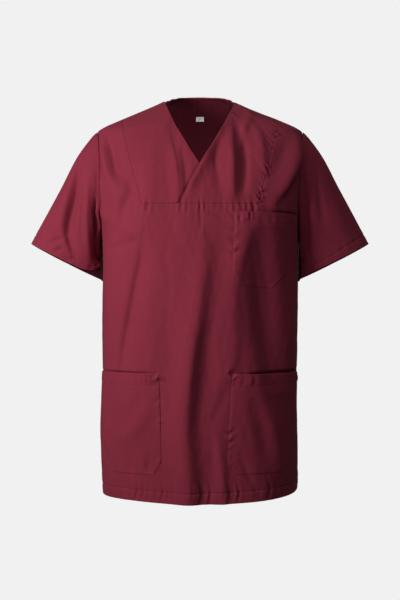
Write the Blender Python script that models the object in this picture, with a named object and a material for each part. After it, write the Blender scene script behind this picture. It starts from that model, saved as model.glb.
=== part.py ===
"""A short-sleeved medical scrub top, filled out as it hangs when worn, in the pieces a maker sews together.

Metres, +Z up. The front faces -Y, and +X is the wearer's left. The origin lies midway between the two
points where the shoulder seams meet the neckline, which is where the wearer's shoulders hold it up.

Every body piece is a sheet laid over one garment surface. That surface is read in a chart of two numbers,
the angle round the body in degrees (0 at the centre front, 90 at the wearer's left side, 180 at the centre
back) and the height z. A piece is a grid between four seam lines of that chart, extruded through its thickness.
"""

import math
from collections import namedtuple

import bmesh
import bpy
import numpy as np
from mathutils.bvhtree import BVHTree

# ---- Cloth ------------------------------------------------------------------------------------------------
WALL = 0.0012  # one layer of twill with its seam allowances
HEM_WALL = 0.0020  # where a hem is turned under twice
SEAM_GAP = 0.0006  # between two pieces that meet at a seam
LAYER_GAP = 0.0015  # between a layer and what it lies on, which leaves room for the facets
POCKET_GAP = 0.0011  # the same under a patch pocket
BODY_HEM = 0.019
SLEEVE_HEM = 0.020
HEM_STEP = 0.002
HEM_ROWS = 2  # rows of a grid that lie on the turned hem

# ---- Body -------------------------------------------------------------------------------------------------
HEM_Z = -0.7135  # the hem at the side seams
HEM_DROP = 0.0066  # how much lower the hem hangs at the centre front and back
NECK_HALF_WIDTH = 0.0665
SHOULDER_HALF_WIDTH = 0.190
RIM_Z = 0.0262  # the back neckline at its highest

NECK_Z = 0.0025  # where the shoulder seams meet the neckline

Section = namedtuple("Section", "z half_width front_depth back_depth squareness")
SECTIONS = (
    Section(-0.740, 0.1780, 0.1400, 0.1230, 2.45),
    Section(-0.620, 0.1812, 0.1380, 0.1200, 2.45),
    Section(-0.530, 0.1808, 0.1370, 0.1180, 2.45),
    Section(-0.450, 0.1812, 0.1370, 0.1190, 2.45),
    Section(-0.330, 0.1808, 0.1380, 0.1230, 2.50),
    Section(-0.250, 0.1815, 0.1350, 0.1260, 2.65),
    Section(-0.200, 0.1840, 0.1280, 0.1250, 2.85),
    Section(-0.140, 0.1875, 0.1130, 0.1200, 3.00),
    Section(-0.090, 0.1905, 0.0930, 0.1120, 2.90),
    Section(-0.0555, 0.1900, 0.0730, 0.1040, 2.60),
    Section(-0.0485, 0.1820, 0.0690, 0.1010, 2.45),
    Section(-0.0345, 0.1530, 0.0590, 0.0960, 2.30),
    Section(-0.0205, 0.1190, 0.0495, 0.0900, 2.25),
    Section(-0.0080, 0.0890, 0.0410, 0.0850, 2.20),
    Section(-0.0010, 0.0735, 0.0370, 0.0820, 2.20),
    Section(NECK_Z, NECK_HALF_WIDTH, 0.0355, 0.0810, 2.20),
    Section(0.0080, 0.0600, 0.0330, 0.0780, 2.20),
    Section(0.0200, 0.0545, 0.0310, 0.0745, 2.20),
    Section(0.0350, 0.0500, 0.0300, 0.0700, 2.20),
)

# ---- Seam lines -------------------------------------------------------------------------------------------
UNDERARM_Z = -0.2505
SHOULDER_TIP_Z = -0.0555
ARMHOLE_HALF_DEPTH = {"front": 0.054, "back": 0.054}
YOKE_SEAM_Z = -0.1980
YOKE_SHOULDER_HALF_WIDTH = 0.1450

# Seam lines across the front and the back are given by the x and z they have when seen from in front.
FacePoint = namedtuple("FacePoint", "z x")
V_EDGE = (
    # the wrapped edge of the wearer's left yoke, from the yoke seam past the centre front to the neck
    FacePoint(YOKE_SEAM_Z, -0.0352),
    FacePoint(-0.1736, -0.0245),
    FacePoint(-0.1528, -0.0139),
    FacePoint(-0.1282, -0.0005),
    FacePoint(-0.0944, 0.0196),
    FacePoint(-0.0650, 0.0362),
    FacePoint(-0.0349, 0.0515),
    FacePoint(NECK_Z, NECK_HALF_WIDTH),
)
BACK_LINE = (
    # no seam, but where the back's grid changes over from the shoulders to the neck
    FacePoint(YOKE_SEAM_Z, 0.0800),
    FacePoint(-0.1000, 0.0760),
    FacePoint(-0.0300, 0.0720),
    FacePoint(NECK_Z, NECK_HALF_WIDTH),
)
YOKE_SIDE_EDGE = (
    FacePoint(YOKE_SEAM_Z, 0.1020),
    FacePoint(-0.1290, 0.1215),
    FacePoint(-0.0800, 0.1332),
    FacePoint(-0.0308, YOKE_SHOULDER_HALF_WIDTH),
)

# ---- Grid of the sheets: seams that meet have the same steps ------------------------------------------------
STEPS_SIDE_SEAM = 20
STEPS_ARMHOLE = 12
STEPS_BELOW_YOKE = 4  # of the armhole
STEPS_ABOVE_YOKE = STEPS_ARMHOLE - STEPS_BELOW_YOKE
STEPS_YOKE_SEAM = 22
STEPS_V_TIP = 7  # steps of the yoke seam that only the under layer covers
STEPS_PRONG = 6
STEPS_BACK_SHOULDER = 10
STEPS_RIM = 12
STEPS_SLEEVE = 11

# ---- Sleeve rings, from the armhole to the hem ---------------------------------------------------------------
Ring = namedtuple("Ring", "along outer_x outer_z inner_x inner_z half_depth")
RINGS = (
    Ring(0.00, SHOULDER_HALF_WIDTH, SHOULDER_TIP_Z, 0.1815, UNDERARM_Z, 0.0550),
    Ring(0.05, 0.1990, -0.0605, 0.1800, -0.2550, 0.0560),
    Ring(0.12, 0.2070, -0.0700, 0.1780, -0.2600, 0.0570),
    Ring(0.25, 0.2270, -0.0975, 0.1760, -0.2710, 0.0570),
    Ring(0.50, 0.2585, -0.1575, 0.1750, -0.2920, 0.0540),
    Ring(0.75, 0.2880, -0.2120, 0.1745, -0.3110, 0.0490),
    Ring(1.00, 0.3148, -0.2614, 0.1745, -0.3310, 0.0450),
)
SLEEVE_LENGTH = 0.235  # along the middle of the sleeve's front
SLEEVE_CLEARANCE = 0.0024  # between the sleeve's inner side and the body it hangs against
SLEEVE_ROOT = 0.35  # the share of the length over which its rings grow out of the armhole's own seam
SLEEVE_FOLD_ROOT = 0.12  # the share over which its folds come up
BACK_HEM_DROP = 0.0050  # how much lower the sleeve's hem hangs behind the arm
HEM_LIFT = {"left": 0.0, "right": 0.020}  # the right sleeve's hem rides up in front of the underarm
HEM_LIFT_AROUND = 142.0
HEM_LIFT_HALF_WIDTH = 38.0

# ---- Patches: corners in degrees round the body and height ---------------------------------------------------
Pocket = namedtuple("Pocket", "side top_inner top_outer clip_inner clip_outer low_inner low_outer gape")
POCKETS = {
    # Each corner is (angle, z): the mouth's two ends, where the clipped corners start, and the bottom. The
    # two hip pockets run round to the sides.
    "chest_pocket": Pocket("left", (25.5, -0.2122), (68.0, -0.2130), (22.6, -0.3163), (59.9, -0.3190),
                           (29.5, -0.3411), (50.5, -0.3460), 0.0022),
    "hip_pocket_left": Pocket("left", (22.8, -0.4954), (80.0, -0.4975), (19.6, -0.6483), (71.0, -0.6130),
                              (25.6, -0.6691), (57.5, -0.6710), 0.0026),
    "hip_pocket_right": Pocket("right", (28.3, -0.4951), (80.0, -0.4960), (26.7, -0.6487), (71.0, -0.6170),
                               (31.5, -0.6709), (57.5, -0.6700), 0.0022),
}
STEPS_POCKET = 12
STEPS_CLIP = 3
FACING_Z = -0.0070  # the lower edge of the facing inside the back neck
STEPS_FACING = 4
LABEL_WIDTH = 0.0165
LABEL_HEIGHT = 0.0105
LABEL_WALL = 0.0010
FACING_WALL = 0.0010
REACH = 0.030  # how far off the cloth a search for its facets starts
WELD = 0.0001
SINK_FADE = 0.030  # the length over which the under yoke comes up beside the top one
SINK_FULL = 0.006  # how far beside the top yoke's edge it still lies at its lowest

# ---- Largest folds: a ridge where the height is positive, a trough where it is negative ------------------------
Fold = namedtuple("Fold", "angle_top z_top angle_mid z_mid angle_low z_low half_width height")
FOLDS = (
    # centre front, below the yoke
    Fold(-8.0, -0.250, -8.6, -0.440, -9.8, -0.760, 0.0170, 0.0060),
    Fold(4.0, -0.330, -2.0, -0.470, -4.0, -0.760, 0.0150, -0.0080),
    Fold(9.0, -0.240, 10.0, -0.400, 6.0, -0.540, 0.0160, 0.0045),
    Fold(13.0, -0.590, 7.0, -0.660, 5.5, -0.760, 0.0130, 0.0045),
    # the wearer's right, from the underarm and down to the pocket
    Fold(-71.0, -0.194, -60.0, -0.235, -41.0, -0.257, 0.0110, 0.0060),
    Fold(-53.0, -0.150, -55.0, -0.195, -55.5, -0.228, 0.0110, -0.0055),
    Fold(-42.0, -0.262, -49.0, -0.370, -53.0, -0.494, 0.0080, -0.0045),
    Fold(-34.0, -0.250, -35.0, -0.370, -37.0, -0.494, 0.0150, 0.0035),
    Fold(-73.0, -0.075, -68.0, -0.110, -65.0, -0.150, 0.0090, -0.0055),
    # the wearer's left, down to the pocket
    Fold(32.0, -0.300, 37.0, -0.400, 44.0, -0.494, 0.0140, -0.0085),
    Fold(22.0, -0.300, 24.0, -0.400, 25.0, -0.500, 0.0130, 0.0040),
    Fold(58.0, -0.350, 58.0, -0.430, 54.0, -0.500, 0.0150, 0.0050),
    Fold(70.0, -0.090, 66.0, -0.150, 60.0, -0.200, 0.0130, 0.0045),
    # the yoke
    Fold(53.0, -0.070, 34.0, -0.120, 26.0, -0.196, 0.0110, -0.0060),
    Fold(24.0, -0.090, 22.0, -0.140, 18.5, -0.196, 0.0085, 0.0045),
    Fold(-30.0, -0.080, -20.0, -0.135, -17.0, -0.196, 0.0080, -0.0035),
    # the back, from the shoulder blades
    Fold(160.0, -0.170, 163.0, -0.420, 166.0, -0.760, 0.0170, -0.0075),
    Fold(196.0, -0.190, 195.0, -0.420, 192.0, -0.760, 0.0180, -0.0080),
    Fold(178.0, -0.240, 179.0, -0.450, 180.0, -0.760, 0.0160, 0.0060),
    Fold(136.0, -0.230, 140.0, -0.440, 141.0, -0.760, 0.0160, 0.0065),
    Fold(222.0, -0.210, 217.0, -0.440, 216.0, -0.760, 0.0160, 0.0065),
    Fold(115.0, -0.300, 118.0, -0.500, 119.0, -0.760, 0.0150, -0.0055),
    Fold(243.0, -0.290, 240.0, -0.500, 241.0, -0.760, 0.0150, -0.0060),
)
# The same for a sleeve: degrees round it (0 along the top, 90 in front, 180 under the arm), and the share
# of its length.
SleeveFold = namedtuple("SleeveFold", "around_top top around_mid mid around_low low half_width height")
SLEEVE_FOLDS = {
    "right": (
        SleeveFold(40.0, 0.22, 52.0, 0.52, 50.0, 0.80, 0.0090, -0.0055),
        SleeveFold(50.0, 0.80, 66.0, 0.90, 74.0, 0.97, 0.0080, -0.0045),
        SleeveFold(62.0, 0.25, 78.0, 0.55, 84.0, 0.85, 0.0100, 0.0040),
        SleeveFold(104.0, 0.30, 116.0, 0.60, 126.0, 0.95, 0.0100, -0.0075),
        SleeveFold(-70.0, 0.15, -84.0, 0.50, -92.0, 0.95, 0.0110, -0.0055),
        SleeveFold(-112.0, 0.20, -120.0, 0.55, -124.0, 0.90, 0.0100, 0.0045),
    ),
    "left": (
        SleeveFold(46.0, 0.12, 56.0, 0.30, 66.0, 0.62, 0.0090, -0.0050),
        SleeveFold(64.0, 0.14, 78.0, 0.45, 86.0, 0.92, 0.0100, 0.0045),
        SleeveFold(96.0, 0.25, 108.0, 0.60, 116.0, 0.95, 0.0100, -0.0060),
        SleeveFold(-72.0, 0.15, -80.0, 0.50, -90.0, 0.95, 0.0110, -0.0055),
        SleeveFold(-112.0, 0.20, -118.0, 0.55, -124.0, 0.90, 0.0100, 0.0045),
    ),
}
ARC_PER_DEGREE = 0.0029  # metres of cloth for each degree round the body
SLEEVE_ARC_PER_DEGREE = 0.0011
FOLD_PIECES = 10

# ---- Finishes ---------------------------------------------------------------------------------------------
BURGUNDY = (0.205, 0.022, 0.046, 1.0)
WHITE = (0.80, 0.80, 0.79, 1.0)


def smooth_column(rows, key, name, at):
    """Reads one column of a table at any key, by a cubic that never overshoots the rows."""
    keys = np.array([getattr(row, key) for row in rows])
    values = np.array([getattr(row, name) for row in rows])
    gaps = np.diff(keys)
    steps = np.diff(values) / gaps
    slopes = np.zeros(len(keys))
    slopes[0], slopes[-1] = steps[0], steps[-1]
    for i in range(1, len(keys) - 1):
        if steps[i - 1] * steps[i] > 0:
            near, far = 2 * gaps[i] + gaps[i - 1], gaps[i] + 2 * gaps[i - 1]
            slopes[i] = (near + far) / (near / steps[i - 1] + far / steps[i])
    at = np.clip(at, keys[0], keys[-1])
    i = np.clip(np.searchsorted(keys, at) - 1, 0, len(gaps) - 1)
    t = (at - keys[i]) / gaps[i]
    return (
        (1 + 2 * t) * (1 - t) ** 2 * values[i]
        + t * (1 - t) ** 2 * gaps[i] * slopes[i]
        + t * t * (3 - 2 * t) * values[i + 1]
        + t * t * (t - 1) * gaps[i] * slopes[i + 1]
    )


def section_at(z):
    return [smooth_column(SECTIONS, "z", name, z) for name in Section._fields[1:]]


def body_surface(angle, z):
    """The garment's outer face without folds: each level is an oval with squared shoulders."""
    angle, z = np.broadcast_arrays(np.asarray(angle, float), np.asarray(z, float))
    half_width, front, back, squareness = section_at(z)
    across, ahead = np.sin(np.radians(angle)), np.cos(np.radians(angle))
    depth = np.where(ahead > 0, front, back)
    radius = (np.abs(across / half_width) ** squareness + np.abs(ahead / depth) ** squareness) ** (-1 / squareness)
    return np.stack([radius * across, -radius * ahead, z], axis=-1)


def body_normal(angle, z):
    small_angle, small_z = 0.5, 0.0015  # degrees and metres to either side
    round_it = body_surface(angle + small_angle, z) - body_surface(angle - small_angle, z)
    up = body_surface(angle, z + small_z) - body_surface(angle, z - small_z)
    normal = np.cross(round_it, up)
    return normal / np.linalg.norm(normal, axis=-1, keepdims=True)


def fold_path(fold):
    """Points along a fold that bends through its middle, as (metres of cloth across, metres along)."""
    t = np.linspace(0, 1, FOLD_PIECES + 1)[:, None]
    start, middle, end = (np.array(fold[i : i + 2]) for i in (0, 2, 4))
    control = 2 * middle - (start + end) / 2
    return (1 - t) ** 2 * start + 2 * t * (1 - t) * control + t**2 * end


def fold_height(folds, across, along, across_scale, along_scale):
    """The sum of the folds at each point. A fold is a soft hill over the distance from its path, and fades
    out towards both of its ends."""
    total = np.zeros(np.broadcast(across, along).shape)
    for fold in folds:
        path = fold_path(fold) * (across_scale, along_scale)
        nearest = np.full(total.shape, np.inf)
        share = np.zeros(total.shape)
        for i in range(FOLD_PIECES):
            step = path[i + 1] - path[i]
            from_start = (across * across_scale - path[i][0], along * along_scale - path[i][1])
            t = np.clip((from_start[0] * step[0] + from_start[1] * step[1]) / (step @ step), 0, 1)
            distance = np.hypot(from_start[0] - t * step[0], from_start[1] - t * step[1])
            share = np.where(distance < nearest, (i + t) / FOLD_PIECES, share)
            nearest = np.minimum(nearest, distance)
        fade = np.sin(np.pi * np.clip(share, 0.04, 0.96)) ** 0.6
        total += fold.height * fade * np.exp(-((nearest / fold.half_width) ** 2))
    return total


def body_cloth(angle, z, out=0.0):
    """Points of the folded cloth, moved out from its outer face by out."""
    wrapped = np.where(angle < -95, angle + 360, angle)  # the back's folds are given from 95 to 265 degrees
    height = fold_height(FOLDS, wrapped, z, ARC_PER_DEGREE, 1.0)
    return body_surface(angle, z) + body_normal(angle, z) * (height + out)[..., None]


def side_of_body(y, z):
    """How far out the body's side reaches at this depth and height."""
    half_width, front, back, squareness = section_at(z)
    depth = np.where(y < 0, front, back)
    return half_width * (1 - np.clip(np.abs(y) / depth, 0, 1) ** squareness) ** (1 / squareness)


def chart_of(y, z):
    """The chart's place of the body's left side at this depth and height."""
    return np.stack([np.degrees(np.arctan2(side_of_body(y, z), -y)), z], axis=-1)


def armhole(half, first=0, last=STEPS_ARMHOLE):
    """The armhole's seam from the underarm up to the shoulder, on the front or the back."""
    turn = np.pi * np.arange(first, last + 1) / STEPS_ARMHOLE
    middle, half_height = (UNDERARM_Z + SHOULDER_TIP_Z) / 2, (SHOULDER_TIP_Z - UNDERARM_Z) / 2
    away = -1 if half == "front" else 1
    return chart_of(away * ARMHOLE_HALF_DEPTH[half] * np.sin(turn), middle - half_height * np.cos(turn))


def shoulder_seam(x_from, x_to, steps):
    """The shoulder seam between two half widths. It is the ridge where front and back meet."""
    heights = np.linspace(SHOULDER_TIP_Z, NECK_Z, 400)
    widths = section_at(heights)[0]
    z = np.interp(np.linspace(x_from, x_to, steps + 1), widths[::-1], heights[::-1])
    return np.stack([np.full(steps + 1, 90.0), z], axis=-1)


def side_seam():
    """The side seam from the hem up, with a step where the hem's turning ends."""
    above_hem = np.linspace(HEM_Z + BODY_HEM + HEM_STEP, UNDERARM_Z, STEPS_SIDE_SEAM - 1)
    z = np.concatenate([[HEM_Z, HEM_Z + BODY_HEM], above_hem])
    return np.stack([np.full(len(z), 90.0), z], axis=-1)


def hem_line(start, end, steps):
    angle = np.linspace(start, end, steps + 1)
    return np.stack([angle, HEM_Z - HEM_DROP * np.cos(np.radians(angle)) ** 2], axis=-1)


def spread(points, steps):
    """Points at even distances along a line through the given ones."""
    points = np.array(points, float)
    lengths = np.hypot(np.diff(points[:, 0]) * ARC_PER_DEGREE, np.diff(points[:, 1]))
    marks = np.concatenate([[0], np.cumsum(lengths)])
    at = np.linspace(0, marks[-1], steps + 1)
    return np.stack([np.interp(at, marks, points[:, k]) for k in (0, 1)], axis=-1)


def joined(*lines):
    """One line from several, each of which starts where the one before it ends."""
    return np.concatenate([lines[0], *(line[1:] for line in lines[1:])])


def mirrored(line):
    """The same seam on the wearer's other side."""
    return line * (-1, 1)


def far_side(line):
    """The same line on the wearer's right, with angles that go on round the back."""
    return (360, 0) + mirrored(line)


def patch(bottom, top, left, right):
    """A grid of chart points between four seam lines, each of which keeps its own points."""
    u = np.linspace(0, 1, len(bottom))[None, :, None]
    v = np.linspace(0, 1, len(left))[:, None, None]
    across = (1 - v) * bottom[None] + v * top[None]
    upward = (1 - u) * left[:, None] + u * right[:, None]
    corners = (1 - v) * ((1 - u) * bottom[0] + u * bottom[-1]) + v * ((1 - u) * top[0] + u * top[-1])
    return across + upward - corners


def chart_angle(x, z, half="front"):
    """The chart angle of the point with this x and z on the front or the back."""
    half_width, front, back, squareness = section_at(z)
    depth = front if half == "front" else -back
    ahead = depth * (1 - np.clip(np.abs(x / half_width), 0, 1) ** squareness) ** (1 / squareness)
    return np.degrees(np.arctan2(x, ahead))


def line_across(points, steps, half="front"):
    """A line over the front or the back, in steps of even length over the cloth."""
    z = np.linspace(points[0].z, points[-1].z, 600)
    chart = np.stack([chart_angle(smooth_column(points, "z", "x", z), z, half), z], axis=-1)
    lengths = np.linalg.norm(np.diff(body_surface(*chart.T), axis=0), axis=-1)
    marks = np.concatenate([[0], np.cumsum(lengths)])
    at = np.linspace(0, marks[-1], steps + 1)
    return np.stack([np.interp(at, marks, column) for column in chart.T], axis=-1)


def yoke_side_seam():
    return line_across(YOKE_SIDE_EDGE, STEPS_ABOVE_YOKE)


def yoke_angles():
    """The angles of the grid's columns along the yoke seam."""
    corner = yoke_side_seam()[0, 0]
    return np.linspace(-corner, corner, STEPS_YOKE_SEAM + 1)


def yoke_seam(first=0):
    angles = yoke_angles()[first:]
    return np.stack([angles, np.full(len(angles), YOKE_SEAM_Z)], axis=-1)


def v_neckline(steps):
    """The wrapped edge, from its tip on a column of the yoke seam up to the neck."""
    line = line_across(V_EDGE, steps)
    line[0, 0] = yoke_angles()[STEPS_V_TIP]
    return line


def front_body_charts():
    """Below the yoke the front is one block, and beside it a prong runs up to each shoulder."""
    armhole_low = armhole("front", last=STEPS_BELOW_YOKE)
    prong_low = spread((armhole_low[-1], yoke_side_seam()[0]), STEPS_PRONG)
    block_top = joined(mirrored(prong_low), yoke_seam(), prong_low[::-1])
    side = joined(side_seam(), armhole_low)
    block = patch(hem_line(-90, 90, len(block_top) - 1), block_top, mirrored(side), side)
    prong = patch(
        prong_low[::-1],
        shoulder_seam(SHOULDER_HALF_WIDTH, YOKE_SHOULDER_HALF_WIDTH, STEPS_PRONG)[::-1],
        yoke_side_seam(),
        armhole("front", first=STEPS_BELOW_YOKE),
    )
    return [block, prong, prong[:, ::-1] * (-1, 1)]


def yoke_chart():
    """The wearer's left yoke: its wrapped edge runs from the neck down past the centre front."""
    side = yoke_side_seam()
    low = yoke_seam(STEPS_V_TIP)
    shoulder = shoulder_seam(YOKE_SHOULDER_HALF_WIDTH, NECK_HALF_WIDTH, len(low) - 1)[::-1]
    return patch(low, shoulder, v_neckline(len(side) - 1), side)


def back_body_charts():
    """The back: a block below the level of the yoke seam, a shoulder on either side, and the neck."""
    armhole_low = armhole("back", last=STEPS_BELOW_YOKE)
    line = line_across(BACK_LINE, STEPS_ABOVE_YOKE, "back")
    line[-1, 0] = 90.0
    shoulder_low = spread((armhole_low[-1], line[0]), STEPS_BACK_SHOULDER)
    across = np.linspace(line[0, 0], 360 - line[0, 0], STEPS_RIM + 1)
    neck_low = np.stack([across, np.full(len(across), YOKE_SEAM_Z)], axis=-1)
    angle = np.linspace(90, 270, STEPS_RIM + 1)
    rim = np.stack([angle, NECK_Z - (RIM_Z - NECK_Z) * np.cos(np.radians(angle))], axis=-1)
    block_top = joined(shoulder_low, neck_low, far_side(shoulder_low)[::-1])
    side = joined(side_seam(), armhole_low)
    block = patch(hem_line(90, 270, len(block_top) - 1), block_top, side, far_side(side))
    shoulder_top = shoulder_seam(SHOULDER_HALF_WIDTH, NECK_HALF_WIDTH, STEPS_BACK_SHOULDER)
    shoulder = patch(shoulder_low, shoulder_top, armhole("back", first=STEPS_BELOW_YOKE), line)
    neck = patch(neck_low, rim, line, far_side(line))
    return [block, shoulder, neck, far_side(shoulder)[:, ::-1]]


def new_material(name, colour, roughness):
    material = bpy.data.materials.new(name)
    material.use_nodes = True
    shader = material.node_tree.nodes["Principled BSDF"]
    shader.inputs["Base Color"].default_value = colour
    shader.inputs["Roughness"].default_value = roughness
    shader.inputs["Metallic"].default_value = 0.0
    return material


def add_sheet(name, grids, material):
    """An object from one or more grids, each given as its outer and its inner points. The grids are joined
    where they meet, and extruding them makes a closed wall whose far face takes the inner points."""
    mesh = bmesh.new()
    inside = mesh.verts.layers.float_vector.new("inside")
    for outer, inner in grids:
        rows, columns = outer.shape[0] - 1, outer.shape[1] - 1
        made = bmesh.ops.create_grid(mesh, x_segments=columns, y_segments=rows, size=0.5)
        for vertex in made["verts"]:
            column = round((vertex.co.x + 0.5) * columns)
            row = round((vertex.co.y + 0.5) * rows)
            vertex.co = outer[row, column]
            vertex[inside] = inner[row, column]
    bmesh.ops.remove_doubles(mesh, verts=mesh.verts, dist=WELD)
    grown = bmesh.ops.extrude_face_region(mesh, geom=mesh.faces[:], use_keep_orig=True)
    for vertex in grown["geom"]:
        if isinstance(vertex, bmesh.types.BMVert):
            vertex.co = vertex[inside]
    bmesh.ops.recalc_face_normals(mesh, faces=mesh.faces)
    data = bpy.data.meshes.new(name)
    mesh.to_mesh(data)
    mesh.free()
    data.materials.append(material)
    piece = bpy.data.objects.new(name, data)
    PARTS.objects.link(piece)
    return piece


def pull_in_edges(sheet, sides):
    """Moves the named edges of a sheet inwards by half the seam gap, through its whole thickness."""
    outer, inner = sheet[0].copy(), sheet[1].copy()
    edges = {"bottom": (0, 1), "top": (-1, -2), "left": (0, 1), "right": (-1, -2)}
    for side in sides:
        edge, near = edges[side]
        if side in ("left", "right"):
            edge, near = (slice(None), edge), (slice(None), near)
        along = outer[near] - outer[edge]
        move = along / np.linalg.norm(along, axis=-1, keepdims=True) * SEAM_GAP / 2
        outer[edge] += move
        inner[edge] += move
    return outer, inner


def cloth_of(chart, out=0.0, hem=False):
    """The outer and inner points of the folded cloth over a chart. A hem is thicker in its lowest rows."""
    wall = np.full(chart.shape[:2], WALL)
    if hem:
        wall[:HEM_ROWS] = HEM_WALL
    return body_cloth(chart[..., 0], chart[..., 1], out), body_cloth(chart[..., 0], chart[..., 1], out - wall)


def add_front_body(material):
    block_chart, *prong_charts = front_body_charts()
    block = pull_in_edges(cloth_of(block_chart, hem=True), ("left", "right"))
    prongs = [pull_in_edges(cloth_of(chart), ("top", "left", "right")) for chart in prong_charts]
    first, last = STEPS_PRONG, STEPS_PRONG + STEPS_YOKE_SEAM
    down = block[0][-2, first : last + 1] - block[0][-1, first : last + 1]
    down *= SEAM_GAP / 2 / np.linalg.norm(down, axis=-1, keepdims=True)
    for layer in (0, 1):
        # the block and its prongs share the points where they meet
        block[layer][-1, last:] = prongs[0][layer][0]
        block[layer][-1, : first + 1] = prongs[1][layer][0]
        block[layer][-1, first : last + 1] += down
        prongs[0][layer][0] = block[layer][-1, last:]
        prongs[1][layer][0] = block[layer][-1, : first + 1]
    return add_sheet("front_body", [block, *prongs], material)


def under_layer_sink(chart):
    """How far the under yoke lies below the top one: a whole layer where they overlap, fading out beside it."""
    top_edge = v_neckline(40)
    edge_angle = np.interp(chart[..., 1], top_edge[:, 1], top_edge[:, 0])
    past = (chart[..., 0] - edge_angle) * ARC_PER_DEGREE
    share = np.clip((past + SINK_FADE) / (SINK_FADE - SINK_FULL), 0, 1)
    return (WALL + LAYER_GAP) * share * share * (3 - 2 * share)


def add_yokes(material):
    chart = yoke_chart()
    add_sheet("yoke_left", [pull_in_edges(cloth_of(chart), ("top", "bottom", "right"))], material)
    chart = chart[:, ::-1] * (-1, 1)
    under = cloth_of(chart, -under_layer_sink(chart))
    add_sheet("yoke_right", [pull_in_edges(under, ("top", "bottom", "left"))], material)


def add_back_body(material):
    block, left, neck, right = (cloth_of(chart, hem=i == 0) for i, chart in enumerate(back_body_charts()))
    block = pull_in_edges(block, ("left", "right"))
    left = pull_in_edges(left, ("left", "top"))
    neck = pull_in_edges(neck, ("top",))
    right = pull_in_edges(right, ("right", "top"))
    first, last = STEPS_BACK_SHOULDER, STEPS_BACK_SHOULDER + STEPS_RIM
    for layer in (0, 1):
        # the grids share the points where they meet
        left[layer][0] = block[layer][-1, : first + 1]
        neck[layer][0] = block[layer][-1, first : last + 1]
        right[layer][0] = block[layer][-1, last:]
        neck[layer][:, 0] = left[layer][:, -1]
        neck[layer][:, -1] = right[layer][:, 0]
    return add_sheet("back_body", [block, left, neck, right], material)


def sleeve_rings(side):
    """The grid of a left sleeve's outer face: a row for each ring and a column for each step round it."""
    hem = 1 - SLEEVE_HEM / SLEEVE_LENGTH
    above_hem = np.linspace(0, hem - HEM_STEP / SLEEVE_LENGTH, STEPS_SLEEVE - 1)
    along = np.concatenate([above_hem, [hem, 1.0]])[:, None]
    around = np.linspace(0, 360, 2 * STEPS_ARMHOLE + 1)[None, :]
    outer_x, outer_z, inner_x, inner_z, half_depth = (
        smooth_column(RINGS, "along", name, along) for name in Ring._fields[1:]
    )
    up, ahead = np.cos(np.radians(around)), np.sin(np.radians(around))
    x = (outer_x + inner_x) / 2 + (outer_x - inner_x) / 2 * up
    z = (outer_z + inner_z) / 2 + (outer_z - inner_z) / 2 * up
    lift = np.exp(-(((around - HEM_LIFT_AROUND) / HEM_LIFT_HALF_WIDTH) ** 2))
    z = z + (HEM_LIFT[side] * lift - BACK_HEM_DROP * np.clip(-ahead, 0, 1)) * along**2
    y = -half_depth * ahead
    # the inner side hangs against the body
    x = np.maximum(x, side_of_body(y, z) + SLEEVE_CLEARANCE)
    points = np.stack([x, y, z], axis=-1)
    # the first ring is the armhole's own seam, and the rings after it grow out of that
    blend = (np.clip(1 - along / SLEEVE_ROOT, 0, 1) ** 2)[..., None]
    return points + blend * (armhole_ring() - points[0])[None], along, around


def armhole_ring():
    """Where a left sleeve starts, from the shoulder down the front and up the back: just inside the armhole's
    seam and just off the body's outer face."""
    chart = joined(armhole("front")[::-1], armhole("back"))
    points, normals = body_cloth(*chart.T), body_normal(*chart.T)
    inwards = points.mean(axis=0) - points
    inwards -= normals * np.sum(normals * inwards, axis=-1, keepdims=True)
    inwards /= np.linalg.norm(inwards, axis=-1, keepdims=True)
    return points + (normals + inwards) * SEAM_GAP


def surface_normals(points):
    """Normals of a grid that closes on itself from its last column to its first."""
    wrapped = np.concatenate([points[:, -2:-1], points, points[:, 1:2]], axis=1)
    around = wrapped[:, 2:] - wrapped[:, :-2]
    along = np.gradient(points, axis=0)
    normal = np.cross(around, along)
    return normal / np.linalg.norm(normal, axis=-1, keepdims=True)


def add_sleeve(side, material):
    points, along, around = sleeve_rings(side)
    signed = np.where(around > 180, around - 360, around)
    height = fold_height(SLEEVE_FOLDS[side], signed, along, SLEEVE_ARC_PER_DEGREE, SLEEVE_LENGTH)
    height *= np.clip(along / SLEEVE_FOLD_ROOT, 0, 1)
    outer = points + surface_normals(points) * height[..., None]
    wall = np.full((len(along), 1, 1), WALL)
    wall[-HEM_ROWS:] = HEM_WALL
    inner = outer - surface_normals(outer) * wall
    mirror = (-1 if side == "right" else 1, 1, 1)
    return add_sheet(f"sleeve_{side}", [(outer * mirror, inner * mirror)], material)


def laid_on(panel, chart, gap, wall, from_inside=False):
    """The two faces of a layer that lies on a panel, with a gap under it that may differ from point to
    point. It rests on the panel's facets where they stand above the smooth cloth."""
    angle, z = chart[..., 0], chart[..., 1]
    smooth = body_cloth(angle, z, -WALL if from_inside else 0.0)
    normals = body_normal(angle, z) * (-1 if from_inside else 1)
    flat = bmesh.new()
    flat.from_mesh(panel.data)
    tree = BVHTree.FromBMesh(flat)
    flat.free()
    above = np.zeros(chart.shape[:2])
    for at in np.ndindex(above.shape):
        hit = tree.ray_cast(smooth[at] + normals[at] * REACH, -normals[at], 2 * REACH)[0]
        if hit:
            above[at] = max(0.0, (np.array(hit) - smooth[at]) @ normals[at])
    low = (above + gap)[..., None]
    return smooth + normals * (low + wall), smooth + normals * low


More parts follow.
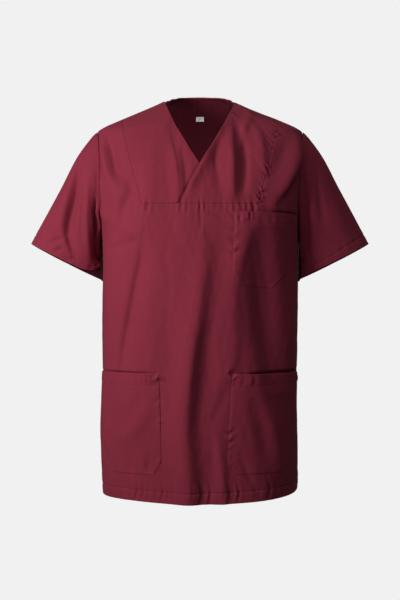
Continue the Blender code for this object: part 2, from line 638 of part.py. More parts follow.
def pocket_chart(pocket):
    """A pocket's grid on the left side, with its clipped corners on points of the grid."""
    inner, outer = (
        joined(spread((low, clip), STEPS_CLIP), spread((clip, top), STEPS_POCKET - STEPS_CLIP))
        for low, clip, top in (
            (pocket.low_inner, pocket.clip_inner, pocket.top_inner),
            (pocket.low_outer, pocket.clip_outer, pocket.top_outer),
        )
    )
    bottom = spread((pocket.low_inner, pocket.low_outer), STEPS_POCKET)
    top = spread((pocket.top_inner, pocket.top_outer), STEPS_POCKET)
    chart = patch(bottom, top, inner, outer)
    return chart if pocket.side == "left" else mirrored(chart)[:, ::-1]


def add_pocket(name, pocket, panel, material):
    """A patch made from the panel's points, moved out. It is sewn down on three sides and gapes at its mouth."""
    chart = pocket_chart(pocket)
    u = np.linspace(0, 1, chart.shape[1])[None, :]
    v = np.linspace(0, 1, chart.shape[0])[:, None]
    belly = np.sin(np.pi * u) * np.sin(0.5 * np.pi * v) ** 1.5
    add_sheet(name, [laid_on(panel, chart, POCKET_GAP + pocket.gape * belly, WALL)], material)


def add_facing(panel, material):
    """The facing that lines the back neck under the rim. It keeps to the columns of the back's own grid."""
    columns = back_body_charts()[2][:, 1:-1]
    levels = np.linspace(0, 1, STEPS_FACING + 1)
    chart = np.empty((len(levels), columns.shape[1], 2))
    for i in range(columns.shape[1]):
        angle, z = columns[:, i].T
        heights = FACING_Z + levels * (z[-1] - SEAM_GAP - FACING_Z)
        chart[:, i] = np.stack([np.interp(heights, z, angle), heights], axis=-1)
    add_sheet("back_neck_facing", [laid_on(panel, chart, LAYER_GAP, FACING_WALL, from_inside=True)], material)


def add_label(panel, material):
    """The small woven label that hangs inside the back neck, from the facing's lower edge."""
    behind = body_cloth(180.0, FACING_Z - LABEL_HEIGHT / 2)[1] - WALL - LAYER_GAP
    half_angle = math.degrees(LABEL_WIDTH / 2 / behind)
    angle = np.linspace(180 - half_angle, 180 + half_angle, 3)
    z = np.linspace(FACING_Z - SEAM_GAP - LABEL_HEIGHT, FACING_Z - SEAM_GAP, 3)
    chart = np.stack(np.meshgrid(angle, z), axis=-1)
    add_sheet("size_label", [laid_on(panel, chart, LAYER_GAP, LABEL_WALL, from_inside=True)], material)


for old in list(bpy.data.objects):
    bpy.data.objects.remove(old)
PARTS = bpy.data.collections.new("scrub_top")
bpy.context.scene.collection.children.link(PARTS)

CLOTH = new_material("burgundy_twill", BURGUNDY, 0.62)
LABEL = new_material("label_white", WHITE, 0.75)
front = add_front_body(CLOTH)
add_yokes(CLOTH)
back = add_back_body(CLOTH)
for sleeve_side in ("left", "right"):
    add_sleeve(sleeve_side, CLOTH)
for pocket_name, pocket_sizes in POCKETS.items():
    add_pocket(pocket_name, pocket_sizes, front, CLOTH)
add_facing(back, CLOTH)
add_label(back, LABEL)
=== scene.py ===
# %% [markdown]
# # A medical scrub top, dressed
# The pack holds the scrub top as eleven plain solids: front, back, two yokes, two sleeves, three patch
# pockets, the facing of the back neck and a size label. This lesson replaces each of them with a thin sheet
# of cloth on the same form, with its creases, its turned edges and its sewing.
#
# Everything is in metres. +Z is up, the front faces -Y, and +X is the wearer's left.

import math
from collections import namedtuple

import bmesh
import bpy
import numpy as np
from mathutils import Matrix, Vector


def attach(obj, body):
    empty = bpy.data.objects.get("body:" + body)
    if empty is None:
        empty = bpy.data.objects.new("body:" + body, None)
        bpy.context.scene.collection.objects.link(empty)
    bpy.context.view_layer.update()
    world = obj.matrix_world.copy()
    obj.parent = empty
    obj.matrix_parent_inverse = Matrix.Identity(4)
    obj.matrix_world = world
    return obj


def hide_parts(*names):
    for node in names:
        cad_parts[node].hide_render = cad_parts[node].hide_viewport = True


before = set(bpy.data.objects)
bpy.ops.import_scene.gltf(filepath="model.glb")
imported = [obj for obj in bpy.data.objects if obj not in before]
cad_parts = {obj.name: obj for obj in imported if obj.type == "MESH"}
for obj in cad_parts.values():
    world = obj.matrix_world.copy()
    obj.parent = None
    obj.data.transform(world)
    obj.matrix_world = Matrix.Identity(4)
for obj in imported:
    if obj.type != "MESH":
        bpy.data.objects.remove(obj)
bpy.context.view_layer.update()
MM = 0.001
print("solids:", ", ".join(sorted(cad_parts)))

# %% [markdown]
# ## The camera
# The top is seen straight from the front, from a little under two metres away. A level camera at the height
# of its middle keeps the side seams upright.

# %% Camera
CAMERA_PLACE = (0.0, -1.9, -0.366)
CAMERA_LENS = 61.06  # millimetres on a 36 mm sensor

bpy.ops.object.select_all(action="DESELECT")
bpy.ops.object.camera_add(location=CAMERA_PLACE, rotation=(math.radians(90), 0, 0))
camera = bpy.context.object
camera.name = "camera"
camera.data.lens = CAMERA_LENS
bpy.context.scene.camera = camera
print("camera at", CAMERA_PLACE)

# %% [markdown]
# ## Floor and room
# The shoulders of a person who stands are about 1.45 m up, and that is where the floor goes. It is pale and
# plain, and so is the room. What the camera sees of the room is bright, but little of that light falls on
# the cloth, so that the lamps alone draw its folds.

# %% Floor and room
SHOULDER_HEIGHT = 1.45
FLOOR_SIZE = 60.0
BACKDROP_GREY = (0.880, 0.880, 0.880, 1)
WHITE = (1.0, 1.0, 1.0, 1)
ROOM_LIGHT = 0.08


def node_tree(owner):
    owner.use_nodes = True
    owner.node_tree.nodes.clear()
    return owner.node_tree


def set_inputs(node, *in_order, **by_name):
    """Gives a node's inputs their values. A value that is another node's output is linked."""
    named = [(node.inputs[name.replace("_", " ")], value) for name, value in by_name.items()]
    for socket, value in [*zip(node.inputs, in_order), *named]:
        if isinstance(value, bpy.types.NodeSocket):
            node.id_data.links.new(value, socket)
        else:
            socket.default_value = value


def add_node(tree, kind, *in_order, settings=None, **by_name):
    node = tree.nodes.new(kind)
    for name, value in (settings or {}).items():
        setattr(node, name, value)
    set_inputs(node, *in_order, **by_name)
    return node


bpy.ops.mesh.primitive_plane_add(size=FLOOR_SIZE, location=(0, 0, -SHOULDER_HEIGHT))
floor = bpy.context.object
floor.name = "floor"
floor.visible_diffuse = False
floor.visible_glossy = False
paint = bpy.data.materials.new("pale_floor")
tree = node_tree(paint)
glow = add_node(tree, "ShaderNodeEmission", Color=BACKDROP_GREY, Strength=1.0)
add_node(tree, "ShaderNodeOutputMaterial", Surface=glow.outputs[0])
floor.data.materials.append(paint)

room = bpy.data.worlds.new("room")
bpy.context.scene.world = room
tree = node_tree(room)
seen = add_node(tree, "ShaderNodeBackground", Color=BACKDROP_GREY).outputs[0]
felt = add_node(tree, "ShaderNodeBackground", Color=WHITE, Strength=ROOM_LIGHT).outputs[0]
in_view = add_node(tree, "ShaderNodeLightPath").outputs["Is Camera Ray"]
choice = add_node(tree, "ShaderNodeMixShader", in_view, felt, seen)
add_node(tree, "ShaderNodeOutputWorld", Surface=choice.outputs[0])
bpy.context.scene.view_settings.view_transform = "Standard"
print("floor", FLOOR_SIZE, "m wide, at", -SHOULDER_HEIGHT)

# %% [markdown]
# ## Lamps
# A softbox stands in front of the wearer's right side, at the height of the shoulder. It leaves the wearer's
# left in shade, which is what makes the folds read. A weak one further in front fills in, a large one far
# above softens the shade, one behind lights the back, and a small one hangs inside the neck.

# %% Lamps
Lamp = namedtuple("Lamp", "name place aim width height watts")
LAMPS = (
    Lamp("key_softbox", (-0.92, -0.84, 0.0), (0.0, -0.1, -0.22), 0.4, 0.4, 14.2),
    Lamp("fill_softbox", (-0.375, -1.13, -0.10), (0.0, -0.1, -0.20), 0.5, 0.5, 2.0),
    Lamp("top_softbox", (0.75, -0.55, 1.90), (0.0, 0.0, -0.35), 0.8, 0.8, 10.5),
    Lamp("back_softbox", (0.0, 2.9, 0.9), (0.0, 0.1, -0.35), 0.5, 0.5, 38),
    Lamp("neck_softbox", (-0.02, -0.01, -0.17), (0.0, 0.09, -0.01), 0.1, 0.1, 0.22),
)
for lamp in LAMPS:
    bpy.ops.object.light_add(type="AREA", location=lamp.place)
    box = bpy.context.object
    box.name = lamp.name
    box.rotation_euler = (Vector(lamp.aim) - Vector(lamp.place)).to_track_quat("-Z", "Y").to_euler()
    box.data.shape = "RECTANGLE"
    box.data.size = lamp.width
    box.data.size_y = lamp.height
    box.data.energy = lamp.watts
    box.visible_camera = False
print("lamps:", len(LAMPS))

# %% [markdown]
# ## The cloth's finish
# Scrubs are cut from a light twill of polyester and cotton. Up close it has fine diagonal ribs, a little over
# half a millimetre apart, and threads that run thicker and thinner along the warp. From a step away that
# reads as a soft sheen with faint upright streaks. The pattern reads the UV map, which is in metres of cloth
# for every piece, so it keeps one scale over the whole garment. The inside of the garment wears the same
# twill at a fifth of its brightness, which is painted shade.

# %% Finishes
BURGUNDY = (0.220, 0.0266, 0.0468)
BURGUNDY_DEEP = (0.197, 0.0234, 0.0415)
THREAD_COLOUR = (0.190, 0.021, 0.044)
LABEL_WHITE = (0.62, 0.62, 0.61)
LABEL_MARK = (0.16, 0.16, 0.17)
RIB_PITCH = 0.6 * MM
RIB_TURN = math.radians(62)
BAND_PERIOD = math.pi / 10  # of Blender's wave texture at a scale of one
SLUB = (1.6 * MM, 45 * MM, 3.0)  # a streak's width and length, and how much detail it has
PATCH = (60 * MM, 110 * MM, 2.0)
PATCH_SHADE = 0.93  # how deep the darkest patches are, next to the lightest
RIB_DEPTH = 0.05 * MM
SLUB_DEPTH = 0.06 * MM
PLY_PITCH = 0.4 * MM  # of a thread


def new_finish(name, roughness):
    """A material with one Principled shader, its nodes, and that shader."""
    finish = bpy.data.materials.new(name)
    tree = node_tree(finish)
    shader = add_node(tree, "ShaderNodeBsdfPrincipled", Roughness=roughness, Metallic=0.0)
    add_node(tree, "ShaderNodeOutputMaterial", Surface=shader.outputs[0])
    return finish, tree, shader


def streaks(tree, source, across, along, detail):
    """Noise that is drawn out along the warp. Its two sizes are in metres."""
    stretch = add_node(tree, "ShaderNodeMapping", Vector=source, Scale=(1 / across, 1 / along, 1))
    noise = {"Scale": 1.0, "Detail": detail, "Roughness": 0.6}
    return add_node(tree, "ShaderNodeTexNoise", stretch.outputs[0], **noise).outputs["Fac"]


def blend_colours(tree, share, low, high, first, second):
    """A colour that goes from first to second as share goes from low to high."""
    ramp = add_node(tree, "ShaderNodeValToRGB", Fac=share)
    for stop, position, colour in zip(ramp.color_ramp.elements, (low, high), (first, second)):
        stop.position = position
        stop.color = (*colour, 1)
    return ramp.outputs["Color"]


# A depth below one darkens the whole colour; the inside twill takes 0.20 of it as painted shade.
def twill_finish(name, depth=1.0, roughness=0.66, shine=0.12):
    finish, tree, shader = new_finish(name, roughness)
    cloth = add_node(tree, "ShaderNodeUVMap", settings={"uv_map": "UVMap"}).outputs[0]
    slub = streaks(tree, cloth, *SLUB)
    patch = streaks(tree, cloth, *PATCH)
    fine = blend_colours(tree, slub, 0.30, 0.70, BURGUNDY_DEEP, BURGUNDY)
    wide = blend_colours(tree, patch, 0.30, 0.70, (PATCH_SHADE * depth,) * 3, (depth,) * 3)
    multiply = {"data_type": "RGBA", "blend_type": "MULTIPLY"}
    tint = add_node(tree, "ShaderNodeMix", settings=multiply, Factor=1.0, A=fine, B=wide)
    turn = add_node(tree, "ShaderNodeMapping", Vector=cloth, Rotation=(0, 0, RIB_TURN)).outputs[0]
    rib = add_node(tree, "ShaderNodeTexWave", turn, Scale=BAND_PERIOD / RIB_PITCH, Distortion=0.0)
    weave = add_node(tree, "ShaderNodeBump", Strength=0.5, Distance=RIB_DEPTH, Height=rib.outputs["Fac"])
    yarn = add_node(tree, "ShaderNodeBump", Strength=0.5, Distance=SLUB_DEPTH, Height=slub)
    set_inputs(yarn, Normal=weave.outputs[0])
    set_inputs(
        shader,
        Base_Color=tint.outputs["Result"],
        Normal=yarn.outputs[0],
        Specular_IOR_Level=shine,
        Specular_Tint=(1.0, 0.12, 0.20, 1),
        Sheen_Weight=0.04,
        Sheen_Roughness=0.45,
        Sheen_Tint=(1.0, 0.55, 0.62, 1),
    )
    return finish


def thread_finish(name):
    finish, tree, shader = new_finish(name, 0.45)
    place = add_node(tree, "ShaderNodeTexCoord").outputs["Object"]
    ply = add_node(tree, "ShaderNodeTexNoise", place, Scale=1 / PLY_PITCH, Detail=1.0)
    shade = blend_colours(tree, ply.outputs["Fac"], 0.35, 0.65, BURGUNDY_DEEP, THREAD_COLOUR)
    set_inputs(shader, Base_Color=shade)
    return finish


TWILL = twill_finish("burgundy_twill_cloth")
# the garment's inside: the same twill darkened to a fifth, duller and rougher, as painted shade
TWILL_INSIDE_SHADED = twill_finish("burgundy_twill_wrong_side", 0.20, 0.75, 0.15)
THREAD = thread_finish("burgundy_thread")
print("finishes:", TWILL.name, "and", THREAD.name)

# %% [markdown]
# ## The garment's form
# All body pieces are cut from one surface. It is read with two numbers, the angle round the body in degrees
# (0 at the centre front, 90 at the wearer's left side seam, 180 at the centre back) and the height z. Each
# level is an oval with squared shoulders, and the table gives its sizes. They are the solids' own.

# %% The body's levels
Section = namedtuple("Section", "z half_width front_depth back_depth squareness")
SECTIONS = (
    Section(-0.740, 0.1780, 0.1400, 0.1230, 2.45),
    Section(-0.620, 0.1812, 0.1380, 0.1200, 2.45),
    Section(-0.530, 0.1808, 0.1370, 0.1180, 2.45),
    Section(-0.450, 0.1812, 0.1370, 0.1190, 2.45),
    Section(-0.330, 0.1808, 0.1380, 0.1230, 2.50),
    Section(-0.250, 0.1815, 0.1350, 0.1260, 2.65),
    Section(-0.200, 0.1840, 0.1280, 0.1250, 2.85),
    Section(-0.140, 0.1875, 0.1130, 0.1200, 3.00),
    Section(-0.090, 0.1905, 0.0930, 0.1120, 2.90),
    Section(-0.0555, 0.1900, 0.0730, 0.1040, 2.60),
    Section(-0.0485, 0.1820, 0.0690, 0.1010, 2.45),
    Section(-0.0345, 0.1530, 0.0590, 0.0960, 2.30),
    Section(-0.0205, 0.1190, 0.0495, 0.0900, 2.25),
    Section(-0.0080, 0.0890, 0.0410, 0.0850, 2.20),
    Section(-0.0010, 0.0735, 0.0370, 0.0820, 2.20),
    Section(0.0025, 0.0665, 0.0355, 0.0810, 2.20),
    Section(0.0080, 0.0600, 0.0330, 0.0780, 2.20),
    Section(0.0200, 0.0545, 0.0310, 0.0745, 2.20),
    Section(0.0350, 0.0500, 0.0300, 0.0700, 2.20),
)


def smooth_column(rows, key, name, at):
    """Reads one column of a table at any key, by a cubic that never overshoots the rows."""
    keys = np.array([getattr(row, key) for row in rows])
    values = np.array([getattr(row, name) for row in rows])
    gaps = np.diff(keys)
    steps = np.diff(values) / gaps
    slopes = np.zeros(len(keys))
    slopes[0], slopes[-1] = steps[0], steps[-1]
    for i in range(1, len(keys) - 1):
        if steps[i - 1] * steps[i] > 0:
            near, far = 2 * gaps[i] + gaps[i - 1], gaps[i] + 2 * gaps[i - 1]
            slopes[i] = (near + far) / (near / steps[i - 1] + far / steps[i])
    at = np.clip(at, keys[0], keys[-1])
    i = np.clip(np.searchsorted(keys, at) - 1, 0, len(gaps) - 1)
    t = (at - keys[i]) / gaps[i]
    return (
        (1 + 2 * t) * (1 - t) ** 2 * values[i]
        + t * (1 - t) ** 2 * gaps[i] * slopes[i]
        + t * t * (3 - 2 * t) * values[i + 1]
        + t * t * (t - 1) * gaps[i] * slopes[i + 1]
    )


def section_at(z):
    return [smooth_column(SECTIONS, "z", name, z) for name in Section._fields[1:]]


def unit(vectors):
    return vectors / np.linalg.norm(vectors, axis=-1, keepdims=True)


def body_form(angle, z):
    angle, z = np.broadcast_arrays(np.asarray(angle, float), np.asarray(z, float))
    half_width, front, back, squareness = section_at(z)
    across, ahead = np.sin(np.radians(angle)), np.cos(np.radians(angle))
    depth = np.where(ahead > 0, front, back)
    oval = np.abs(across / half_width) ** squareness + np.abs(ahead / depth) ** squareness
    reach = oval ** (-1 / squareness)
    return np.stack([reach * across, -reach * ahead, z], axis=-1)


def body_normal(angle, z):
    small_angle, small_z = 0.5, 0.0015
    round_it = body_form(angle + small_angle, z) - body_form(angle - small_angle, z)
    up = body_form(angle, z + small_z) - body_form(angle, z - small_z)
    return unit(np.cross(round_it, up))


def oval_reach(half, share, squareness):
    """How far a level reaches one way, at this share of its reach the other way."""
    return half * (1 - np.clip(share, 0, 1) ** squareness) ** (1 / squareness)


def side_of_body(y, z):
    """How far out the body's side reaches at this depth and height."""
    half_width, front, back, squareness = section_at(z)
    return oval_reach(half_width, np.abs(y) / np.where(y < 0, front, back), squareness)


print("levels:", len(SECTIONS))

# %% [markdown]
# ## Seam lines
# Every piece is a grid between four seam lines. A line is a row of chart points, each an angle and a height.

# %% Seam lines
HEM_Z = -0.7135
HEM_DROP = 0.0066
NECK_Z = 0.0025
NECK_HALF_WIDTH = 0.0665
RIM_Z = 0.0262
SHOULDER_HALF_WIDTH = 0.190
SHOULDER_TIP_Z = -0.0555
UNDERARM_Z = -0.2505
ARMHOLE_HALF_DEPTH = 0.054
YOKE_SEAM_Z = -0.1980
YOKE_SHOULDER_HALF_WIDTH = 0.1450
FacePoint = namedtuple("FacePoint", "z x")
V_EDGE = (
    FacePoint(YOKE_SEAM_Z, -0.0352),
    FacePoint(-0.1736, -0.0245),
    FacePoint(-0.1528, -0.0139),
    FacePoint(-0.1282, -0.0005),
    FacePoint(-0.0944, 0.0196),
    FacePoint(-0.0650, 0.0362),
    FacePoint(-0.0349, 0.0515),
    FacePoint(NECK_Z, NECK_HALF_WIDTH),
)
BACK_LINE = (
    FacePoint(YOKE_SEAM_Z, 0.0800),
    FacePoint(-0.1000, 0.0760),
    FacePoint(-0.0300, 0.0720),
    FacePoint(NECK_Z, NECK_HALF_WIDTH),
)
YOKE_SIDE_EDGE = (
    FacePoint(YOKE_SEAM_Z, 0.1020),
    FacePoint(-0.1290, 0.1215),
    FacePoint(-0.0800, 0.1332),
    FacePoint(-0.0308, YOKE_SHOULDER_HALF_WIDTH),
)
LINE_SAMPLES = 600  # points that a line is measured with
ARC_PER_DEGREE = 0.0029  # metres of cloth for each degree round the body
ON_CLOTH = np.array([ARC_PER_DEGREE, 1.0])  # turns a chart point into metres of cloth


def armhole_at(around):
    """The armhole's seam, from the shoulder (0) down the front to the underarm (180) and up the back."""
    turn = np.radians(around)
    y = -ARMHOLE_HALF_DEPTH * np.sin(turn)
    z = (SHOULDER_TIP_Z + UNDERARM_Z) / 2 + (SHOULDER_TIP_Z - UNDERARM_Z) / 2 * np.cos(turn)
    return np.stack([np.degrees(np.arctan2(side_of_body(y, z), -y)), z], axis=-1)


def shoulder_seam(x_from, x_to, steps):
    heights = np.linspace(SHOULDER_TIP_Z, NECK_Z, 400)
    widths = section_at(heights)[0]
    z = np.interp(np.linspace(x_from, x_to, steps + 1), widths[::-1], heights[::-1])
    return np.stack([np.full(steps + 1, 90.0), z], axis=-1)


def hem_z(angle):
    return HEM_Z - HEM_DROP * np.cos(np.radians(angle)) ** 2


def chart_angle(x, z, half="front"):
    """The chart angle of the point with this x and z on the front or the back."""
    half_width, front, back, squareness = section_at(z)
    depth = front if half == "front" else -back
    return np.degrees(np.arctan2(x, oval_reach(depth, np.abs(x / half_width), squareness)))


def marks_along(line, scale=1.0):
    """How far along a line each of its points lies."""
    return np.concatenate([[0], np.cumsum(np.linalg.norm(np.diff(line, axis=0) * scale, axis=-1))])


def read_at(line, marks, at):
    """A line's points at other marks than its own."""
    return np.stack([np.interp(at, marks, column) for column in line.T], axis=-1)


def line_across(points, steps, half="front"):
    """A line over the front or the back, in steps of even length over the cloth."""
    z = np.linspace(points[0].z, points[-1].z, LINE_SAMPLES)
    chart = np.stack([chart_angle(smooth_column(points, "z", "x", z), z, half), z], axis=-1)
    marks = marks_along(body_form(*chart.T))
    return read_at(chart, marks, np.linspace(0, marks[-1], steps + 1))


def spread(points, steps):
    """Points at even distances along a line through the given ones."""
    points = np.array(points, float)
    marks = marks_along(points, ON_CLOTH)
    return read_at(points, marks, np.linspace(0, marks[-1], steps + 1))


def joined(*lines):
    return np.concatenate([lines[0], *(line[1:] for line in lines[1:])])


def mirrored(line):
    return line * (-1, 1)


def far_side(line):
    return (360, 0) + mirrored(line)


def patch(bottom, top, left, right):
    """A grid of chart points between four seam lines, each of which keeps its own points."""
    u = np.linspace(0, 1, len(bottom))[None, :, None]
    v = np.linspace(0, 1, len(left))[:, None, None]
    across = (1 - v) * bottom[None] + v * top[None]
    upward = (1 - u) * left[:, None] + u * right[:, None]
    corners = (1 - v) * ((1 - u) * bottom[0] + u * bottom[-1]) + v * ((1 - u) * top[0] + u * top[-1])
    return across + upward - corners


YOKE_CORNER = line_across(YOKE_SIDE_EDGE, 2)[0, 0]
V_TIP = line_across(V_EDGE, 2)[0, 0]
print(f"the yoke seam runs from {-YOKE_CORNER:.1f} to {YOKE_CORNER:.1f} degrees, the V ends at {V_TIP:.1f}")

# %% [markdown]
# ## Creases
# Cloth that hangs from the shoulders falls in long soft folds, drags from the underarms, and gathers above
# the pockets. Each row of the table is one fold: the chart points that it runs through, how wide it is and
# how high it stands, in millimetres. A trough has a negative height. A fold's profile is a soft hill, and it
# fades towards both ends. Many folds lean, so a second width can be given for the flank on the side of the
# larger angle.

# %% Crease tables
Crease = namedtuple("Crease", "path half_width height far_width", defaults=(None,))
FRONT_CREASES = (
    # down the middle: a ridge with a wide flank towards the right hip, and a valley beside it
    Crease(((3.5, -0.272), (2, -0.314), (-0.5, -0.357), (-2, -0.40), (-5, -0.444), (-7, -0.487), (-9, -0.53),
            (-10.3, -0.574), (-9.8, -0.617), (-8, -0.68), (-7, -0.80)), 30, 15.0, 19),
    Crease(((10, -0.30), (9, -0.357), (8, -0.40), (7.5, -0.444), (7.5, -0.49), (8, -0.53)), 20, -1.5, 14),
    Crease(((21, -0.505), (15, -0.546), (9, -0.585)), 10, -2.0),
    Crease(((6, -0.58), (8, -0.617), (8, -0.66), (7, -0.69), (6, -0.80)), 20, -3.0, 10),
    Crease(((12.5, -0.60), (14.5, -0.64), (16, -0.68), (17, -0.78)), 10, 3.5, 9),
    # from the chest pocket into the mouth of the left hip pocket: a crest, and a wide hollow beyond it
    Crease(((42, -0.215), (35, -0.244), (30, -0.276), (26, -0.305), (24, -0.331), (23, -0.366), (23, -0.401),
            (24, -0.435), (22, -0.479), (18, -0.513), (15, -0.548)), 20, 4.0, 14),
    Crease(((44, -0.225), (43, -0.28), (44, -0.35), (46, -0.42), (49, -0.47), (52, -0.54)), 25, -12.0, 32),
    Crease(((38, -0.287), (42, -0.322), (44, -0.357), (46, -0.392)), 8, 1.4),
    Crease(((62, -0.35), (66, -0.41), (64, -0.47)), 12, 2.5),
    # the wearer's right: a narrow crease that runs into the hip pocket
    Crease(((-38, -0.250), (-41, -0.30), (-45, -0.345), (-49, -0.398), (-53, -0.46),
            (-54, -0.52)), 6, -6.0, 18),
    Crease(((-24, -0.27), (-22, -0.357), (-25, -0.44)), 8, -0.8),
    Crease(((-66, -0.28), (-66, -0.45), (-64, -0.60), (-64, -0.78)), 14, 5.0, 34),
    Crease(((-72, -0.46), (-70, -0.60), (-70, -0.86)), 14, 8.0, 44),
    # the drag from the right underarm, with its hollows
    Crease(((-90, -0.190), (-76, -0.204), (-60, -0.224), (-50, -0.243), (-38, -0.256)), 12, 3.0, 12),
    Crease(((-70, -0.273), (-53, -0.270), (-44, -0.262), (-38, -0.257)), 7, -2.2),
    # beside the armholes: the cloth stands up along each seam and is hollow next to it
    Crease(((-79, -0.060), (-74, -0.087), (-71, -0.106), (-68, -0.125), (-65, -0.144),
            (-62, -0.163)), 8, 3.0, 5),
    Crease(((-73, -0.068), (-70, -0.087), (-67, -0.105), (-64, -0.124), (-61, -0.140), (-57, -0.154)),
           6, -14.0, 17),
    Crease(((-60, -0.136), (-52, -0.152), (-48.5, -0.168), (-49.5, -0.182), (-51.5, -0.198), (-53, -0.216),
            (-55, -0.235)), 11, -9.0, 16),
    Crease(((-73, -0.140), (-71, -0.170), (-69, -0.200), (-67, -0.240)), 12, 4.0, 8),
    Crease(((80, -0.058), (74, -0.086), (71, -0.110), (67, -0.130), (62, -0.152), (58, -0.170),
            (52, -0.190)), 16, 11.5, 5),
    Crease(((74, -0.062), (66, -0.089), (60, -0.112), (54, -0.140)), 12, -3.0),
    # the right yoke: one soft fall from the shoulder
    Crease(((-39, -0.057), (-29, -0.091), (-23, -0.119), (-19, -0.152), (-17, -0.186)), 14, 3.0, 6),
    Crease(((-20, -0.090), (-15, -0.119), (-12, -0.150), (-11, -0.190)), 7, -3.0, 10),
    # the left yoke: a hollow along the V, then folds that hang from the shoulder
    Crease(((50, -0.030), (30, -0.065), (17, -0.100), (15, -0.138), (17, -0.178)), 10, -3.5),
    Crease(((40, -0.045), (33, -0.081), (29, -0.119), (26, -0.156), (24.5, -0.1965)), 14, 6.0, 9),
    Crease(((46, -0.048), (42, -0.078), (38, -0.112), (35, -0.148), (31, -0.190)), 11, -7.0, 8),
    Crease(((70, -0.018), (50, -0.053), (42, -0.077), (36, -0.098)), 7, 3.5, 6),
    Crease(((58, -0.045), (53, -0.080), (49, -0.114), (47, -0.145)), 9, 4.0, 8),
    # the hip pockets
    Crease(((-68, -0.618), (-62, -0.648), (-58, -0.679)), 6, -2),
    Crease(((-49, -0.638), (-46, -0.675)), 5, -1.8),
    Crease(((-36, -0.641), (-34, -0.669)), 5, -1.8),
    Crease(((-34, -0.54), (-42, -0.585), (-55, -0.614)), 14, 2.5),
    Crease(((34, -0.531), (42, -0.593), (46, -0.664)), 12, -3),
    Crease(((42, -0.532), (51, -0.595), (55, -0.675)), 12, 2.5),
    Crease(((27.8, -0.635), (34, -0.676), (42, -0.716)), 6, -2.5),
    # short folds that the yoke seam lets out
    Crease(((0, -0.202), (0.8, -0.248)), 5, -1.5),
    Crease(((4.8, -0.206), (14.8, -0.22), (24.2, -0.232)), 5, -2),
    Crease(((16.8, -0.202), (23.2, -0.216), (25.5, -0.234)), 3.5, -1.5),
    Crease(((-20.5, -0.202), (-18.5, -0.241), (-15.8, -0.279)), 8, -1.0),
)
BACK_CREASES = (
    Crease(((160, -0.17), (163, -0.42), (166, -0.76)), 17, -9.0),
    Crease(((196, -0.19), (195, -0.42), (192, -0.76)), 18, -9.5),
    Crease(((178, -0.24), (179, -0.45), (180, -0.76)), 16, 7.0),
    Crease(((136, -0.23), (140, -0.44), (141, -0.76)), 16, 7.5),
    Crease(((222, -0.21), (217, -0.44), (216, -0.76)), 16, 7.5),
    Crease(((115, -0.30), (118, -0.50), (119, -0.76)), 15, -6.5),
    Crease(((243, -0.29), (240, -0.50), (241, -0.76)), 15, -7.0),
    Crease(((103, -0.16), (122, -0.22), (140, -0.25)), 9, 3.0),
    Crease(((104, -0.22), (122, -0.262), (138, -0.31)), 10, -3.0),
    Crease(((257, -0.17), (240, -0.23), (222, -0.27)), 9, 3.0),
    Crease(((256, -0.23), (241, -0.275), (226, -0.32)), 10, -3.0),
    Crease(((108, -0.07), (116, -0.12), (118, -0.17)), 10, -3.0),
    Crease(((252, -0.07), (244, -0.13), (243, -0.18)), 10, -3.0),
    Crease(((150, -0.04), (163, -0.075), (180, -0.085)), 7, 1.5),
    Crease(((210, -0.045), (196, -0.08), (181, -0.095)), 7, -1.5),
)
SIDE_CREASES = (
    Crease(((88, -0.30), (94, -0.40), (92, -0.52)), 8, -1.5),
    Crease(((101, -0.45), (104, -0.58), (100, -0.76)), 9, 2.0),
    Crease(((-92, -0.33), (-97, -0.45), (-95, -0.56)), 8, -1.5),
    Crease(((-104, -0.48), (-101, -0.60), (-103, -0.76)), 9, 2.0),
)
PATH_PIECES = 6  # straight pieces between two points of a path
FADE = 0.6  # the lower, the fuller a fold stays towards its ends


def smooth_path(points):
    """A curve through the points of a path."""
    points = np.array(points, float)
    before = 2 * points[0] - points[1]
    after = 2 * points[-1] - points[-2]
    posts = np.concatenate([[before], points, [after]])
    t = (np.arange(PATH_PIECES) + 1)[:, None] / PATH_PIECES
    made = [points[:1]]
    for a, b, c, d in zip(posts, posts[1:], posts[2:], posts[3:]):
        square, cube = 2 * a - 5 * b + 4 * c - d, 3 * b - a - 3 * c + d
        made.append(0.5 * (2 * b + (c - a) * t + square * t**2 + cube * t**3))
    return np.concatenate(made)


def hill(distance, width):
    """A soft hill that is 1 in its middle."""
    return np.exp(-((distance / width) ** 2))


def around_path(path, points, reach):
    """Which of the points can be within reach of a path."""
    return np.all((points > path.min(axis=0) - reach) & (points < path.max(axis=0) + reach), axis=1)


def nearest_on(path, points):
    """For each point: its distance to a path, the share of the path where its nearest place is, and
    whether it lies on the far side. The path's length comes last."""
    marks = marks_along(path)
    nearest = np.full(len(points), np.inf)
    along = np.zeros(len(points))
    for i in range(len(path) - 1):
        step = path[i + 1] - path[i]
        length = marks[i + 1] - marks[i]
        t = np.clip((points - path[i]) @ step / max(length**2, 1e-12), 0, 1)
        distance = np.linalg.norm(points - path[i] - t[:, None] * step, axis=1)
        closer = distance < nearest
        nearest = np.where(closer, distance, nearest)
        along = np.where(closer, marks[i] + t * length, along)
    far = points[:, 0] > np.interp(along, marks, path[:, 0])
    return nearest, along / marks[-1], far, marks[-1]


def crease_height(creases, points, scale=ON_CLOTH):
    """The sum of the folds at chart points, in metres."""
    flat = points.reshape(-1, 2) * scale
    total = np.zeros(len(flat))
    for crease in creases:
        path = smooth_path(crease.path) * scale
        width = crease.half_width * MM
        far_width = (crease.far_width or crease.half_width) * MM
        near = around_path(path, flat, 3 * max(width, far_width))
        if near.any():
            distance, share, far, _ = nearest_on(path, flat[near])
            fade = np.sin(np.pi * np.clip(share, 0.03, 0.97)) ** FADE
            total[near] += crease.height * MM * fade * hill(distance, np.where(far, far_width, width))
    return total.reshape(points.shape[:-1])


print("creases:", len(FRONT_CREASES) + len(BACK_CREASES) + len(SIDE_CREASES))

